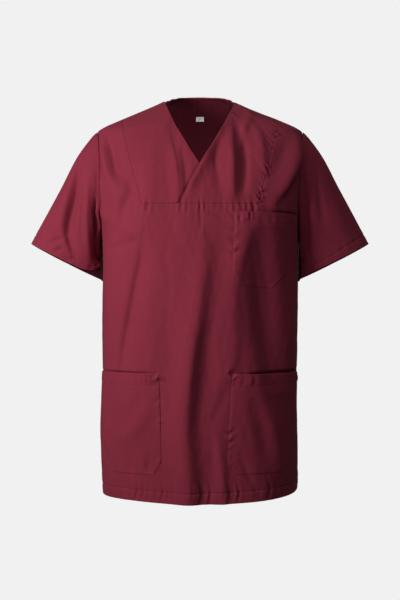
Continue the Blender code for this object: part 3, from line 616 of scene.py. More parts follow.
# %% [markdown]
# ## Puckers and ripples
# A line of stitching draws the cloth in a little, so short uneven folds stand across it. They are largest
# beside the left yoke, at the hip pockets and along the hem. The rest of the cloth isn't flat either, and a
# faint ripple keeps its highlights from looking machined. Both come from sums of waves whose lengths and
# phases are drawn from a fixed seed.

# %% Puckers and ripples
Pucker = namedtuple("Pucker", "line reach pitch height slant seed")
Ripple = namedtuple("Ripple", "height across upward seed")
RIPPLES = (Ripple(0.8 * MM, 0.075, 0.22, 11), Ripple(0.12 * MM, 0.018, 0.035, 12))
WAVES = 14
PUCKER_LENGTHS = (0.75, 2.2)  # the shortest and the longest wave, next to the pitch
RIPPLE_SIZES = (0.7, 1.6)
SWELL = 7  # pitches over which puckers grow strong and fade again
SWELL_RANGE = (0.1, 1.4)
Groove = namedtuple("Groove", "half_width depth")
STITCH_GROOVE = Groove(1.5 * MM, 0.6 * MM)


def uneven(along, pitch, seed):
    """A line of humps and hollows about one pitch apart, none like the next."""
    draw = np.random.default_rng(seed)
    total = np.zeros_like(along)
    for _ in range(WAVES):
        length = pitch * draw.uniform(*PUCKER_LENGTHS)
        total += np.cos(2 * np.pi * (along / length + draw.uniform()))
    return total / math.sqrt(WAVES / 2)


def ripple_height(ripple, points):
    """A soft ripple over the cloth, with the two sizes of its humps in metres."""
    draw = np.random.default_rng(ripple.seed)
    flat = points * ON_CLOTH
    total = np.zeros(points.shape[:-1])
    for _ in range(WAVES):
        turn = draw.uniform(0, math.pi)
        size = draw.uniform(*RIPPLE_SIZES)
        phase = draw.uniform(0, 2 * math.pi)
        along = flat[..., 0] * math.cos(turn) / ripple.across + flat[..., 1] * math.sin(turn) / ripple.upward
        total += np.cos(2 * np.pi * along / size + phase)
    return ripple.height * (total / math.sqrt(WAVES / 2))


def pucker_height(puckers, points):
    flat = points.reshape(-1, 2) * ON_CLOTH
    total = np.zeros(len(flat))
    for pucker in puckers:
        path = pucker.line * ON_CLOTH
        near = around_path(path, flat, 3 * pucker.reach)
        if near.any():
            distance, share, _, length = nearest_on(path, flat[near])
            along = share * length
            humps = uneven(along + pucker.slant * distance, pucker.pitch, pucker.seed)
            swell = 0.55 + 0.5 * uneven(along, SWELL * pucker.pitch, pucker.seed + 50)
            strong = np.clip(swell, *SWELL_RANGE)
            total[near] += pucker.height * strong * humps * hill(distance, pucker.reach)
    return total.reshape(points.shape[:-1])


def hem_line(first, last, rise, steps=90):
    angle = np.linspace(first, last, steps + 1)
    return np.stack([angle, hem_z(angle) + rise], axis=-1)


BODY_HEM = 0.019
yoke_line = np.array([(-YOKE_CORNER, YOKE_SEAM_Z), (YOKE_CORNER, YOKE_SEAM_Z)])
yoke_side = line_across(YOKE_SIDE_EDGE, 12)
front_armhole = armhole_at(np.linspace(0, 180, 25))
BODY_PUCKERS = [
    Pucker(hem_line(-100, 260, BODY_HEM), 0.016, 0.0100, 0.00095, 0.25, 1),
    Pucker(yoke_line - (0, 0.004), 0.011, 0.0095, 0.00085, 0.1, 2),
    Pucker(yoke_side, 0.009, 0.0085, 0.00135, -0.9, 3),
    Pucker(mirrored(yoke_side), 0.007, 0.0100, 0.00045, -0.7, 4),
    Pucker(front_armhole, 0.008, 0.0120, 0.00025, 0.2, 5),
    Pucker(mirrored(front_armhole), 0.008, 0.0120, 0.00025, 0.2, 6),
    Pucker(np.array([(25.5, -0.212), (23.5, -0.270), (22.6, -0.316)]), 0.008, 0.0130, 0.00070, 0.6, 7),
    Pucker(np.array([(26, -0.2225), (66, -0.2235)]), 0.008, 0.0100, 0.00050, 0.1, 10),
    Pucker(np.array([(24, -0.5060), (78, -0.5080)]), 0.008, 0.0100, 0.00060, 0.1, 11),
    Pucker(np.array([(-29, -0.5055), (-78, -0.5065)]), 0.008, 0.0100, 0.00060, 0.1, 12),
    Pucker(np.array([(22.8, -0.495), (19.6, -0.648)]), 0.009, 0.0130, 0.00100, 0.7, 8),
    Pucker(np.array([(-28.3, -0.495), (-26.7, -0.649)]), 0.009, 0.0130, 0.00110, -0.5, 9),
]


def wrapped(points):
    """The same chart points with angles from -100 to 260 degrees."""
    angle = points[..., 0]
    return np.stack([np.where(angle < -100, angle + 360, angle), points[..., 1]], axis=-1)


def body_height(points):
    points = wrapped(points)
    height = crease_height(FRONT_CREASES + BACK_CREASES + SIDE_CREASES, points)
    height += pucker_height(BODY_PUCKERS, points)
    for ripple in RIPPLES:
        height += ripple_height(ripple, points)
    from_stitches = points[..., 1] - hem_z(points[..., 0]) - BODY_HEM
    return height - STITCH_GROOVE.depth * hill(from_stitches, STITCH_GROOVE.half_width)


def with_lift(chart):
    """Chart points as (angle, z, lift), where lift says how far a point lies off the body."""
    chart = np.asarray(chart, float)
    if chart.shape[-1] == 3:
        return chart
    return np.concatenate([chart, np.zeros((*chart.shape[:-1], 1))], axis=-1)


def body_cloth(chart, out=0.0, more=()):
    """The points of the cloth at these chart points, with more creases than the body's own if given."""
    chart = with_lift(chart)
    angle, z = chart[..., 0], chart[..., 1]
    off = body_height(chart[..., :2]) + chart[..., 2] + out
    if more:
        off = off + crease_height(more, wrapped(chart[..., :2]))
    return body_form(angle, z) + body_normal(angle, z) * off[..., None]


print("puckered seams:", len(BODY_PUCKERS))

# %% [markdown]
# ## From a grid to a sheet
# A piece starts as Blender's own grid, which is then laid over the form. Its rims are turned with the extrude
# tool as a tailor turns them: a hem is rolled round and runs back up inside, and the edge at a seam turns
# straight in. Solidify then gives the sheet the thickness of the twill.

# %% Sheet tools
TWILL_THICKNESS = 0.5 * MM
MERGE_DISTANCE = 0.1 * MM
FACE_SAMPLE = 400  # faces that tell which way a piece looks
HEM, SEAM, FOLD = 1, 2, 4  # what a rim is, added up where two rims share a corner
FOLD_RADIUS = 0.6 * MM
SEAM_TURN = ((-0.5 * MM, 0.0), (-1.5 * MM, 0.0))


def rolled_hem(depth, rows=4):
    """The steps that take a rim round a fold and back up inside: (out, inwards) for each new row."""
    turn = np.radians((60, 120, 180))
    roll = [(-FOLD_RADIUS * (1 - math.cos(t)), -FOLD_RADIUS * math.sin(t)) for t in turn]
    return roll + [(-2 * FOLD_RADIUS, depth * (i + 1) / rows) for i in range(rows)]


def select_only(*pieces):
    bpy.ops.object.select_all(action="DESELECT")
    for piece in pieces:
        piece.select_set(True)
    bpy.context.view_layer.objects.active = pieces[0]


def edit_all(piece, operator, **settings):
    """Runs an edit-mode operator on the whole of a piece."""
    select_only(piece)
    bpy.ops.object.mode_set(mode="EDIT")
    bpy.ops.mesh.select_all(action="SELECT")
    operator(**settings)
    bpy.ops.object.mode_set(mode="OBJECT")


def read_all(items, name, kind=int, size=1):
    """One property of all vertices, faces or corners, as one long array."""
    values = np.empty(len(items) * size, kind)
    items.foreach_get(name, values)
    return values


def write_layer(piece, name, kind, values):
    layer = piece.data.attributes.new(name, kind, "POINT")
    layer.data.foreach_set("vector" if kind == "FLOAT_VECTOR" else "value", values.ravel())


RIM_PLACES = {  # where each rim is in a grid, and the row or column next to it
    "bottom": (0, 1),
    "top": (-1, -2),
    "left": ((slice(None), 0), (slice(None), 1)),
    "right": ((slice(None), -1), (slice(None), -2)),
}


def inward_steps(chart, place, rims):
    """For each point of a hem rim, how the chart changes for each metre towards the middle of the piece."""
    inward = np.zeros_like(chart)
    points = place(chart)
    for side, kind in rims.items():
        if kind != SEAM:
            edge, beside_it = RIM_PLACES[side]
            length = np.linalg.norm(points[beside_it] - points[edge], axis=-1, keepdims=True)
            inward[edge] = (chart[beside_it] - chart[edge]) / length
            inward[edge][..., 2] = 0
    return inward


def lay_grid(name, chart, place, rims):
    """Blender's grid laid over the form, with what each of its vertices has to know kept in layers."""
    chart = with_lift(chart)
    rows, columns = chart.shape[0] - 1, chart.shape[1] - 1
    bpy.ops.object.select_all(action="DESELECT")
    bpy.ops.mesh.primitive_grid_add(x_subdivisions=columns, y_subdivisions=rows, size=1.0)
    piece = bpy.context.object
    piece.name = name
    flat = read_all(piece.data.vertices, "co", float, 3).reshape(-1, 3)
    column = np.rint((flat[:, 0] + 0.5) * columns).astype(int)
    row = np.rint((flat[:, 1] + 0.5) * rows).astype(int)
    piece.data.vertices.foreach_set("co", place(chart)[row, column].ravel())
    kinds = np.zeros(chart.shape[:2], int)
    for side, kind in rims.items():
        kinds[RIM_PLACES[side][0]] |= kind
    write_layer(piece, "chart", "FLOAT_VECTOR", chart[row, column])
    write_layer(piece, "cloth", "FLOAT_VECTOR", chart[row, column])
    write_layer(piece, "inward", "FLOAT_VECTOR", inward_steps(chart, place, rims)[row, column])
    write_layer(piece, "rim", "INT", kinds[row, column])
    return piece


def turn_rim(piece, place, kind, steps):
    """Extrudes one kind of rim, a row for each step, and lays the new rows on the form."""
    select_only(piece)
    bpy.ops.object.mode_set(mode="EDIT")
    bpy.ops.mesh.select_mode(type="EDGE")
    bpy.ops.mesh.select_all(action="DESELECT")
    mesh = bmesh.from_edit_mesh(piece.data)
    rim = mesh.verts.layers.int["rim"]
    for edge in mesh.edges:
        edge.select_set(edge.is_boundary and all(vertex[rim] & kind for vertex in edge.verts))
    for out, inwards in steps:
        bpy.ops.mesh.extrude_edges_move()
        mesh = bmesh.from_edit_mesh(piece.data)
        rim = mesh.verts.layers.int["rim"]
        vectors = mesh.verts.layers.float_vector
        chart, cloth, inward = vectors["chart"], vectors["cloth"], vectors["inward"]
        new = [vertex for vertex in mesh.verts if vertex.select]
        where = np.array([vertex[chart] + vertex[inward] * inwards for vertex in new])
        for vertex, at, point in zip(new, where, place(where, out)):
            vertex.co = point
            vertex[cloth] = at
            vertex[rim] = 0
    bmesh.update_edit_mesh(piece.data)
    bpy.ops.object.mode_set(mode="OBJECT")


def write_uv(piece, scale):
    """The UV map in metres of cloth. On a tube the angle is taken the short way round within a face."""
    mesh = piece.data
    cloth = read_all(mesh.attributes["cloth"].data, "vector", float, 3).reshape(-1, 3)
    at = cloth[read_all(mesh.loops, "vertex_index")][:, :2]
    first, count = read_all(mesh.polygons, "loop_start"), read_all(mesh.polygons, "loop_total")
    lead = np.repeat(at[first, 0], count)
    at[:, 0] -= 360 * np.rint((at[:, 0] - lead) / 360)
    mesh.uv_layers["UVMap"].data.foreach_set("uv", (at * scale).ravel())


def finish_sheet(
    piece, outside, scale=ON_CLOTH, thickness=TWILL_THICKNESS, finish=(TWILL, TWILL_INSIDE_SHADED), turned=None
):
    """Writes a piece's UV map, gives it its thickness and smooths it. The inner side, and where turned is
    given the faces from that number on, take the second finish, by default the twill darkened as painted
    shade."""
    write_uv(piece, scale)
    sample = piece.data.polygons[:FACE_SAMPLE]
    points = np.array([face.center for face in sample])
    normals = np.array([face.normal for face in sample])
    if np.sum(outside(points) * normals) < 0:
        edit_all(piece, bpy.ops.mesh.flip_normals)
    piece.data.materials.clear()
    for coat in finish:
        piece.data.materials.append(coat)
    if turned:
        for face in piece.data.polygons[turned:]:
            face.material_index = 1
    select_only(piece)
    solid = piece.modifiers.new("thickness", "SOLIDIFY")
    solid.thickness = thickness
    solid.offset = -1
    solid.material_offset = 1
    bpy.ops.object.modifier_apply(modifier=solid.name)
    for name in ("chart", "cloth", "inward", "rim"):
        piece.data.attributes.remove(piece.data.attributes[name])
    bpy.ops.object.shade_smooth()
    print(f"{piece.name}: {len(piece.data.polygons)} faces")


def join_grids(name, pieces):
    select_only(*pieces)
    bpy.ops.object.join()
    edit_all(pieces[0], bpy.ops.mesh.remove_doubles, threshold=MERGE_DISTANCE)
    pieces[0].name = name
    return pieces[0]


def from_axis(points):
    """Away from the body's middle line."""
    return points * (1, 1, 0)


print("sheet tools are ready")

# %% [markdown]
# ## The front
# Below the yoke seam the front is one wide block, and beside the yokes a narrow prong runs up to each
# shoulder. Rows are closest at the hem and behind the mouths of the hip pockets, where fine grooves run.

# %% Front
FINE = 6
STEPS_ABOVE_HEM = 130
STEPS_LOW_ARMHOLE = 6 * FINE
STEPS_HIGH_ARMHOLE = 8 * FINE
STEPS_PRONG = 6 * FINE
STEPS_YOKE = 22 * FINE
HEM_ROWS = np.array([0.0, 1.5, 4.5, 8.0, 12.0, 15.5, 17.3, 18.2, 19.0, 19.8, 20.7, 22.5]) * MM
LOW_ARMHOLE_TURN = 60  # degrees of the armhole below the yoke seam
HIP_MOUTH_Z = -0.4955
HIP_MOUTH_ROWS = HIP_MOUTH_Z + np.arange(-5, 8) * 1.1 * MM
ROW_GAP = 1.0 * MM  # the least height between close rows and the next one


def side_seam():
    above = np.linspace(HEM_Z + HEM_ROWS[-1] + 2.5 * ROW_GAP, UNDERARM_Z, STEPS_ABOVE_HEM)
    above = above[(above < HIP_MOUTH_ROWS[0] - ROW_GAP) | (above > HIP_MOUTH_ROWS[-1] + ROW_GAP)]
    z = np.sort(np.concatenate([HEM_Z + HEM_ROWS, above, HIP_MOUTH_ROWS]))
    return np.stack([np.full(len(z), 90.0), z], axis=-1)


def armhole(half, low):
    """The lower or the upper stretch of the armhole, upwards."""
    if low:
        turn = np.linspace(180, 180 - LOW_ARMHOLE_TURN, STEPS_LOW_ARMHOLE + 1)
    else:
        turn = np.linspace(180 - LOW_ARMHOLE_TURN, 0, STEPS_HIGH_ARMHOLE + 1)
    return armhole_at(turn if half == "front" else 360 - turn)


# behind each pocket's mouth the front is drawn in, which leaves a dark line above the mouth, and the
# stitches draw it in beside each pocket's inner edge
MOUTH_GROOVES = (
    Crease(((25.2, -0.2120), (23.2, -0.2700), (22.3, -0.3180)), 2.0, -0.6),
    Crease(((22.5, -0.4950), (20.9, -0.5700), (19.2, -0.6500)), 2.0, -0.6),
    Crease(((-28.0, -0.4950), (-27.2, -0.5700), (-26.4, -0.6500)), 2.0, -0.9),
    Crease(((25.0, -0.2110), (45.0, -0.2118), (70.0, -0.2132)), 2.0, -1.6),
    Crease(((50.0, -0.2115), (60.0, -0.2122), (71.0, -0.2130)), 2.6, -4.5),
    Crease(((22.0, -0.4935), (45.0, -0.4960), (84.0, -0.4935)), 2.0, -2.0),
    Crease(((36.0, -0.4945), (52.0, -0.4950), (84.0, -0.4925)), 3.2, -5.0),
    Crease(((-27.5, -0.4938), (-45.0, -0.4950), (-84.0, -0.4935)), 2.0, -2.0),
    Crease(((-33.5, -0.4935), (-45.0, -0.4945), (-75.0, -0.4930)), 2.4, -3.0),
)


def front_form(chart, out=0.0):
    return body_cloth(chart, out, MOUTH_GROOVES)


front_low = armhole("front", low=True)
prong_low = spread((front_low[-1], yoke_side[0]), STEPS_PRONG)
seam_columns = spread(yoke_line, STEPS_YOKE)
block_top = joined(mirrored(prong_low), seam_columns, prong_low[::-1])
front_side = joined(side_seam(), front_low)
front_hem = hem_line(-90, 90, 0.0, len(block_top) - 1)
block = patch(front_hem, block_top, mirrored(front_side), front_side)
prong = patch(
    prong_low[::-1],
    shoulder_seam(SHOULDER_HALF_WIDTH, YOKE_SHOULDER_HALF_WIDTH, STEPS_PRONG)[::-1],
    line_across(YOKE_SIDE_EDGE, STEPS_HIGH_ARMHOLE),
    armhole("front", low=False),
)
seams = {"top": SEAM, "left": SEAM, "right": SEAM}
front_cloth = join_grids(
    "front_cloth",
    [
        lay_grid("block", block, front_form, {"bottom": HEM, **seams}),
        lay_grid("prong", prong, front_form, seams),
        lay_grid("prong", mirrored(prong)[:, ::-1], front_form, seams),
    ],
)
turn_rim(front_cloth, front_form, SEAM, SEAM_TURN)
turn_rim(front_cloth, front_form, HEM, rolled_hem(BODY_HEM))
finish_sheet(front_cloth, from_axis)

# %% [markdown]
# ## The yokes
# The wearer's left yoke lies on top. Its V edge is folded and crosses the middle, and the right yoke runs
# on under it.

# %% Yokes
STEPS_YOKE_ACROSS = 140
STEPS_YOKE_UP = 90
UNDER_LAYER = 2.6 * MM
SINK_FADE = 8.0 * MM
SINK_FULL = 0.5 * MM
EDGE_LIFT = 6.5 * MM
EDGE_LIFT_WIDTH = 16.0 * MM
EDGE_LIFT_FADE = 0.045  # over this height it comes down again to the yoke seam and to the shoulder
EDGE_LIFT_LEAST = 0.10
EDGE_ROLL = 1.8 * MM  # the fold itself rolls down a little, most of all low down
EDGE_ROLL_WIDTH = 4.5 * MM
EDGE_ROLL_BELOW = -0.105
EDGE_ROLL_FADE = 0.03
EDGE_SAMPLES = 60
NECK_FACING = 0.028  # how far the V edge is turned in

yoke_low = spread(((V_TIP, YOKE_SEAM_Z), (YOKE_CORNER, YOKE_SEAM_Z)), STEPS_YOKE_ACROSS)
yoke = patch(
    yoke_low,
    shoulder_seam(YOKE_SHOULDER_HALF_WIDTH, NECK_HALF_WIDTH, STEPS_YOKE_ACROSS)[::-1],
    line_across(V_EDGE, STEPS_YOKE_UP),
    line_across(YOKE_SIDE_EDGE, STEPS_YOKE_UP),
)


def smooth_step(share):
    return share * share * (3 - 2 * share)


def past_edge(chart):
    """How far a chart point lies past the left yoke's V edge, towards the wearer's left."""
    angle, z = line_across(V_EDGE, EDGE_SAMPLES).T
    slope = np.interp(chart[..., 1], z, np.gradient(angle * ARC_PER_DEGREE, z))
    return (chart[..., 0] - np.interp(chart[..., 1], z, angle)) * ARC_PER_DEGREE / np.hypot(1, slope)


def left_yoke_cloth(chart, out=0.0):
    """The folded edge of the left yoke stands up, less so near the yoke seam and the shoulder."""
    chart = np.asarray(chart, float)
    z = chart[..., 1]
    room = np.minimum(z - YOKE_SEAM_Z, NECK_Z - z) / EDGE_LIFT_FADE
    least = EDGE_LIFT_LEAST * np.clip(room * 8, 0, 1)
    share = np.clip(smooth_step(np.clip(room, 0, 1)), least, 1)
    low_down = np.clip((EDGE_ROLL_BELOW - z) / EDGE_ROLL_FADE, 0, 1) * np.clip(room * 3, 0, 1)
    past = past_edge(chart)
    rise = EDGE_LIFT * share * hill(past, EDGE_LIFT_WIDTH)
    rise -= EDGE_ROLL * low_down * hill(past, EDGE_ROLL_WIDTH)
    return body_cloth(chart, out + rise)


def right_yoke_cloth(chart, out=0.0):
    """The right yoke lies a layer lower where the left yoke covers it."""
    chart = np.asarray(chart, float)
    share = np.clip((past_edge(chart) + SINK_FADE) / (SINK_FADE - SINK_FULL), 0, 1)
    return body_cloth(chart, out - UNDER_LAYER * smooth_step(share))


for side, chart, place in (
    ("left", yoke, left_yoke_cloth),
    ("right", mirrored(yoke)[:, ::-1], right_yoke_cloth),
):
    front_edge, far_edge = ("left", "right") if side == "left" else ("right", "left")
    rims = {"bottom": SEAM, "top": SEAM, front_edge: HEM, far_edge: SEAM}
    piece = lay_grid(f"yoke_{side}_cloth", chart, place, rims)
    turn_rim(piece, place, SEAM, SEAM_TURN)
    turn_rim(piece, place, HEM, rolled_hem(NECK_FACING, rows=8))
    finish_sheet(piece, from_axis)

# %% [markdown]
# ## The back
# The back is cut in one piece. Its grid has a block below, a shoulder on either side and the neck between
# them.

# %% Back
STEPS_BACK_SHOULDER = 10 * FINE
STEPS_RIM = 12 * FINE

back_low = armhole("back", low=True)
back_line = line_across(BACK_LINE, STEPS_HIGH_ARMHOLE, "back")
back_line[-1, 0] = 90.0
shoulder_low = spread((back_low[-1], back_line[0]), STEPS_BACK_SHOULDER)
across = np.linspace(back_line[0, 0], 360 - back_line[0, 0], STEPS_RIM + 1)
neck_low = np.stack([across, np.full(len(across), YOKE_SEAM_Z)], axis=-1)
turn = np.linspace(90, 270, STEPS_RIM + 1)
neck_rim = np.stack([turn, NECK_Z - (RIM_Z - NECK_Z) * np.cos(np.radians(turn))], axis=-1)
block_top = joined(shoulder_low, neck_low, far_side(shoulder_low)[::-1])
back_side = joined(side_seam(), back_low)
back_block = patch(hem_line(90, 270, 0.0, len(block_top) - 1), block_top, back_side, far_side(back_side))
shoulder = patch(
    shoulder_low,
    shoulder_seam(SHOULDER_HALF_WIDTH, NECK_HALF_WIDTH, STEPS_BACK_SHOULDER),
    armhole("back", low=False),
    back_line,
)
neck = patch(neck_low, neck_rim, back_line, far_side(back_line))
back_cloth = join_grids(
    "back_cloth",
    [
        lay_grid("block", back_block, body_cloth, {"bottom": HEM, "left": SEAM, "right": SEAM}),
        lay_grid("shoulder", shoulder, body_cloth, {"top": SEAM, "left": SEAM}),
        lay_grid("neck", neck, body_cloth, {"top": FOLD}),
        lay_grid("shoulder", far_side(shoulder)[:, ::-1], body_cloth, {"top": SEAM, "right": SEAM}),
    ],
)
turn_rim(back_cloth, body_cloth, SEAM, SEAM_TURN)
turn_rim(back_cloth, body_cloth, HEM, rolled_hem(BODY_HEM))
turn_rim(back_cloth, body_cloth, FOLD, rolled_hem(0.003, rows=1))
finish_sheet(back_cloth, from_axis)

# %% [markdown]
# ## The sleeves
# A sleeve is a tube of rings, from the armhole to its hem. Each ring is an oval that leans out and down, and
# the inner side hangs against the body. A point is read with the angle round the sleeve (0 along the top, 90
# in front, 180 under the arm) and its share of the sleeve's length.

# %% Sleeve form
Ring = namedtuple("Ring", "along outer_x outer_z inner_x inner_z half_depth")
RINGS = (
    Ring(0.00, SHOULDER_HALF_WIDTH, SHOULDER_TIP_Z, 0.1815, UNDERARM_Z, 0.0550),
    Ring(0.05, 0.1990, -0.0605, 0.1800, -0.2550, 0.0560),
    Ring(0.12, 0.2070, -0.0700, 0.1780, -0.2600, 0.0570),
    Ring(0.25, 0.2270, -0.0975, 0.1760, -0.2710, 0.0570),
    Ring(0.50, 0.2585, -0.1575, 0.1750, -0.2920, 0.0540),
    Ring(0.75, 0.2880, -0.2120, 0.1745, -0.3110, 0.0490),
    Ring(1.00, 0.3148, -0.2614, 0.1745, -0.3310, 0.0450),
)
SLEEVE_LENGTH = 0.235
SLEEVE_HEM = 0.020
SLEEVE_CLEARANCE = 3.0 * MM
SLEEVE_ROOT = 0.35  # the share of the length over which it takes over the armhole's form
SLEEVE_START = 0.10  # over this share the folds and the clearance come in
BACK_HEM_DROP = 0.0050
HEM_LIFT = {"left": 0.0, "right": 0.030}
HEM_LIFT_AROUND = 166.0
HEM_LIFT_FRONT = 30.0  # degrees, how far the lift reaches in front of its highest place
HEM_LIFT_BEHIND = 15.0
SLEEVE_ARC_PER_DEGREE = 0.0011
ON_SLEEVE = np.array([SLEEVE_ARC_PER_DEGREE, SLEEVE_LENGTH])
SLEEVE_CREASES = {
    "right": (
        # the long fold down the outside, a fainter one beside it, and the fall towards the underarm
        Crease(((38, 0.22), (42, 0.31), (51, 0.40), (58, 0.50), (65, 0.61), (75, 0.72), (90, 0.82),
                (102, 0.96)), 5, -6.5, 12),
        Crease(((45, 0.26), (55, 0.40), (63, 0.50), (71, 0.62), (81, 0.74)), 9, -10.5, 16),
        Crease(((26, 0.24), (36, 0.42), (46, 0.62), (56, 0.80)), 10, 2.0, 9),
        Crease(((47, 0.18), (58, 0.23), (70, 0.27), (81, 0.35), (91, 0.48), (101, 0.66)), 6, -2.5, 9),
        Crease(((70, 0.16), (87, 0.28), (95, 0.38), (105, 0.49), (115, 0.65), (126, 0.90)), 11, 3.0, 10),
        Crease(((102, 0.04), (122, 0.17), (136, 0.26), (144, 0.39), (149, 0.56), (153, 0.84)), 21, -14.0, 13),
        # short ones that the hem's stitches draw in
        Crease(((58, 0.90), (66, 0.84), (73, 0.79)), 4, -3.0),
        Crease(((70, 0.96), (78, 0.88)), 4, -2.4),
        Crease(((88, 0.99), (98, 0.92)), 5, -2.6),
        # the back
        Crease(((-60, 0.15), (-76, 0.50), (-84, 1.10)), 11, -5.0),
        Crease(((-100, 0.20), (-112, 0.55), (-116, 0.95)), 10, 4.0),
        Crease(((-28, 0.30), (-40, 0.60), (-44, 1.10)), 10, -3.0),
    ),
    "left": (
        Crease(((5, 0.05), (30, 0.08), (50, 0.11), (62, 0.12)), 5, -1.2),
        Crease(((50, 0.06), (58, 0.17), (64, 0.26), (73, 0.36), (80, 0.48), (86, 0.62)), 8, -3.5, 12),
        Crease(((56, 0.50), (62, 0.72), (64, 0.98)), 16, 2.0),
        Crease(((62, 0.03), (86, 0.08), (104, 0.18), (116, 0.30), (126, 0.44), (136, 0.62),
                (146, 0.86)), 16, -8.0, 18),
        Crease(((-62, 0.15), (-74, 0.50), (-82, 1.10)), 11, -5.0),
        Crease(((-98, 0.20), (-110, 0.55), (-114, 0.95)), 10, 4.0),
        Crease(((-24, 0.30), (-36, 0.60), (-40, 1.10)), 10, -3.0),
    ),
}
SLEEVE_CAP = 2.2 * MM  # the seam's turned edges hold the top of the sleeve up
SLEEVE_CAP_AT = 0.008
SLEEVE_CAP_WIDTH = 0.028
ROOT_OFFSET = 0.2 * MM
MIRROR = {"left": (1, 1, 1), "right": (-1, 1, 1)}
HEM_PUCKER_WIDTH = 16 * MM
ROOT_PUCKER_WIDTH = 14 * MM
SLEEVE_PUCKER = 0.30 * MM
SLEEVE_RIPPLE = 0.5 * MM
SLEEVE_PHASE = {"left": 70, "right": 80}
RING_TURNS = np.linspace(0, 360, 289)


def on_ring(sizes, up, ahead):
    """The x, y and z of points on a ring of these sizes."""
    outer_x, outer_z, inner_x, inner_z, half_depth = sizes
    x = (outer_x + inner_x) / 2 + (outer_x - inner_x) / 2 * up
    z = (outer_z + inner_z) / 2 + (outer_z - inner_z) / 2 * up
    return x, -half_depth * ahead, z


def sleeve_form(side, around, along):
    """The left sleeve's form, or the right one's before it is mirrored."""
    up, ahead = np.cos(np.radians(around)), np.sin(np.radians(around))
    sizes = [smooth_column(RINGS, "along", name, along) for name in Ring._fields[1:]]
    x, y, z = on_ring(sizes, up, ahead)
    from_lift = (around - HEM_LIFT_AROUND + 180) % 360 - 180
    lift = hill(from_lift, np.where(from_lift < 0, HEM_LIFT_FRONT, HEM_LIFT_BEHIND))
    z = z + (HEM_LIFT[side] * lift - BACK_HEM_DROP * np.clip(-ahead, 0, 1)) * along**2
    clearance = SLEEVE_CLEARANCE * np.clip(along / SLEEVE_START, 0, 1)
    x = np.maximum(x, side_of_body(y, z) + clearance)
    root_x, root_y, root_z = on_ring(RINGS[0][1:], up, ahead)
    root_x = np.maximum(root_x, side_of_body(root_y, root_z))
    share = (np.clip(1 - along / SLEEVE_ROOT, 0, 1) ** 2)[..., None]
    to_armhole = armhole_ring(side, around) - np.stack([root_x, root_y, root_z], axis=-1)
    return np.stack([x, y, z], axis=-1) + share * to_armhole


def make_armhole_ring(side):
    """Where a sleeve starts: just inside the armhole's seam, and level with the body's cloth there."""
    chart = armhole_at(RING_TURNS)
    if side == "right":
        chart = mirrored(chart)
    points, normals = body_cloth(chart) * MIRROR[side], body_normal(*chart.T) * MIRROR[side]
    inwards = points[:-1].mean(axis=0) - points
    inwards = unit(inwards - normals * np.sum(normals * inwards, axis=-1, keepdims=True))
    return points + normals * ROOT_OFFSET + inwards * ROOT_OFFSET


ARMHOLE_RINGS = {side: make_armhole_ring(side) for side in ("left", "right")}


def armhole_ring(side, around):
    return read_at(ARMHOLE_RINGS[side], RING_TURNS, around % 360)


def sleeve_height(side, around, along):
    """How far the cloth stands off the sleeve's form: its folds, puckers, ripple and stitch groove."""
    signed = (around + 180) % 360 - 180
    height = crease_height(SLEEVE_CREASES[side], np.stack([signed, along], axis=-1), ON_SLEEVE)
    along = np.clip(along, 0, 1)
    phase = SLEEVE_PHASE[side]
    turn = around / 360 * 2 * math.pi
    hump = np.cos(19 * turn + 2 * np.sin(3 * turn + phase)) + 0.7 * np.cos(31 * turn + 3 * np.sin(2 * turn))
    from_stitches = (1 - along) * SLEEVE_LENGTH - SLEEVE_HEM
    near_hem = hill(from_stitches, HEM_PUCKER_WIDTH)
    near_root = hill(along * SLEEVE_LENGTH, ROOT_PUCKER_WIDTH)
    height += SLEEVE_PUCKER * hump * (near_hem + 0.7 * near_root)
    height += SLEEVE_RIPPLE * np.cos(5 * turn + 4 * along + phase) * np.cos(3 * turn - 5 * along) * along
    height -= STITCH_GROOVE.depth * hill(from_stitches, STITCH_GROOVE.half_width)
    height *= np.clip(along / SLEEVE_START, 0, 1)
    on_top = np.clip(np.cos(np.radians(around)), 0, 1)
    return height + SLEEVE_CAP * on_top * hill(along - SLEEVE_CAP_AT, SLEEVE_CAP_WIDTH)


def sleeve_cloth(side):
    """The function that lays chart points of one sleeve."""

    def place(chart, out=0.0):
        chart = np.asarray(chart, float)
        around, along = chart[..., 0], np.clip(chart[..., 1], 0, 1)
        small_turn, small_share = 1.0, 0.006
        further, back = np.minimum(along + small_share, 1), np.maximum(along - small_share, 0)
        later, earlier = around + small_turn, around - small_turn
        round_it = sleeve_form(side, later, along) - sleeve_form(side, earlier, along)
        down = sleeve_form(side, around, further) - sleeve_form(side, around, back)
        off = sleeve_height(side, around, chart[..., 1]) + chart[..., 2] + out
        points = sleeve_form(side, around, along) + unit(np.cross(round_it, down)) * off[..., None]
        return points * MIRROR[side]

    return place


print("sleeve rings:", len(RINGS))

# %% [markdown]
# ## Cutting and hemming the sleeves
# The grid's first and last columns meet under the arm, where the real sleeve has its seam.

# %% Sleeves
STEPS_ROUND_SLEEVE = 168
STEPS_ALONG_SLEEVE = 84
SLEEVE_MIDDLE = (0.235, 0.0, -0.22)
FOLD_ROWS = 3  # that go round a hem's fold, before it runs back up inside


def sleeve_rows():
    """Shares of the length, with close rows at both ends and at the stitched line."""
    hem = 1 - HEM_ROWS[::-1] / SLEEVE_LENGTH * (SLEEVE_HEM / BODY_HEM)
    top = np.array([0.0, 1.2, 2.6]) * MM / SLEEVE_LENGTH
    middle = np.linspace(top[-1], hem[0], STEPS_ALONG_SLEEVE)
    return np.concatenate([top[:-1], middle, hem[1:]])


def from_sleeve(side):
    """Away from the sleeve's middle line."""
    middle = np.array(SLEEVE_MIDDLE) * MIRROR[side]
    return lambda points: (points - middle) * (1, 1, 0.3)


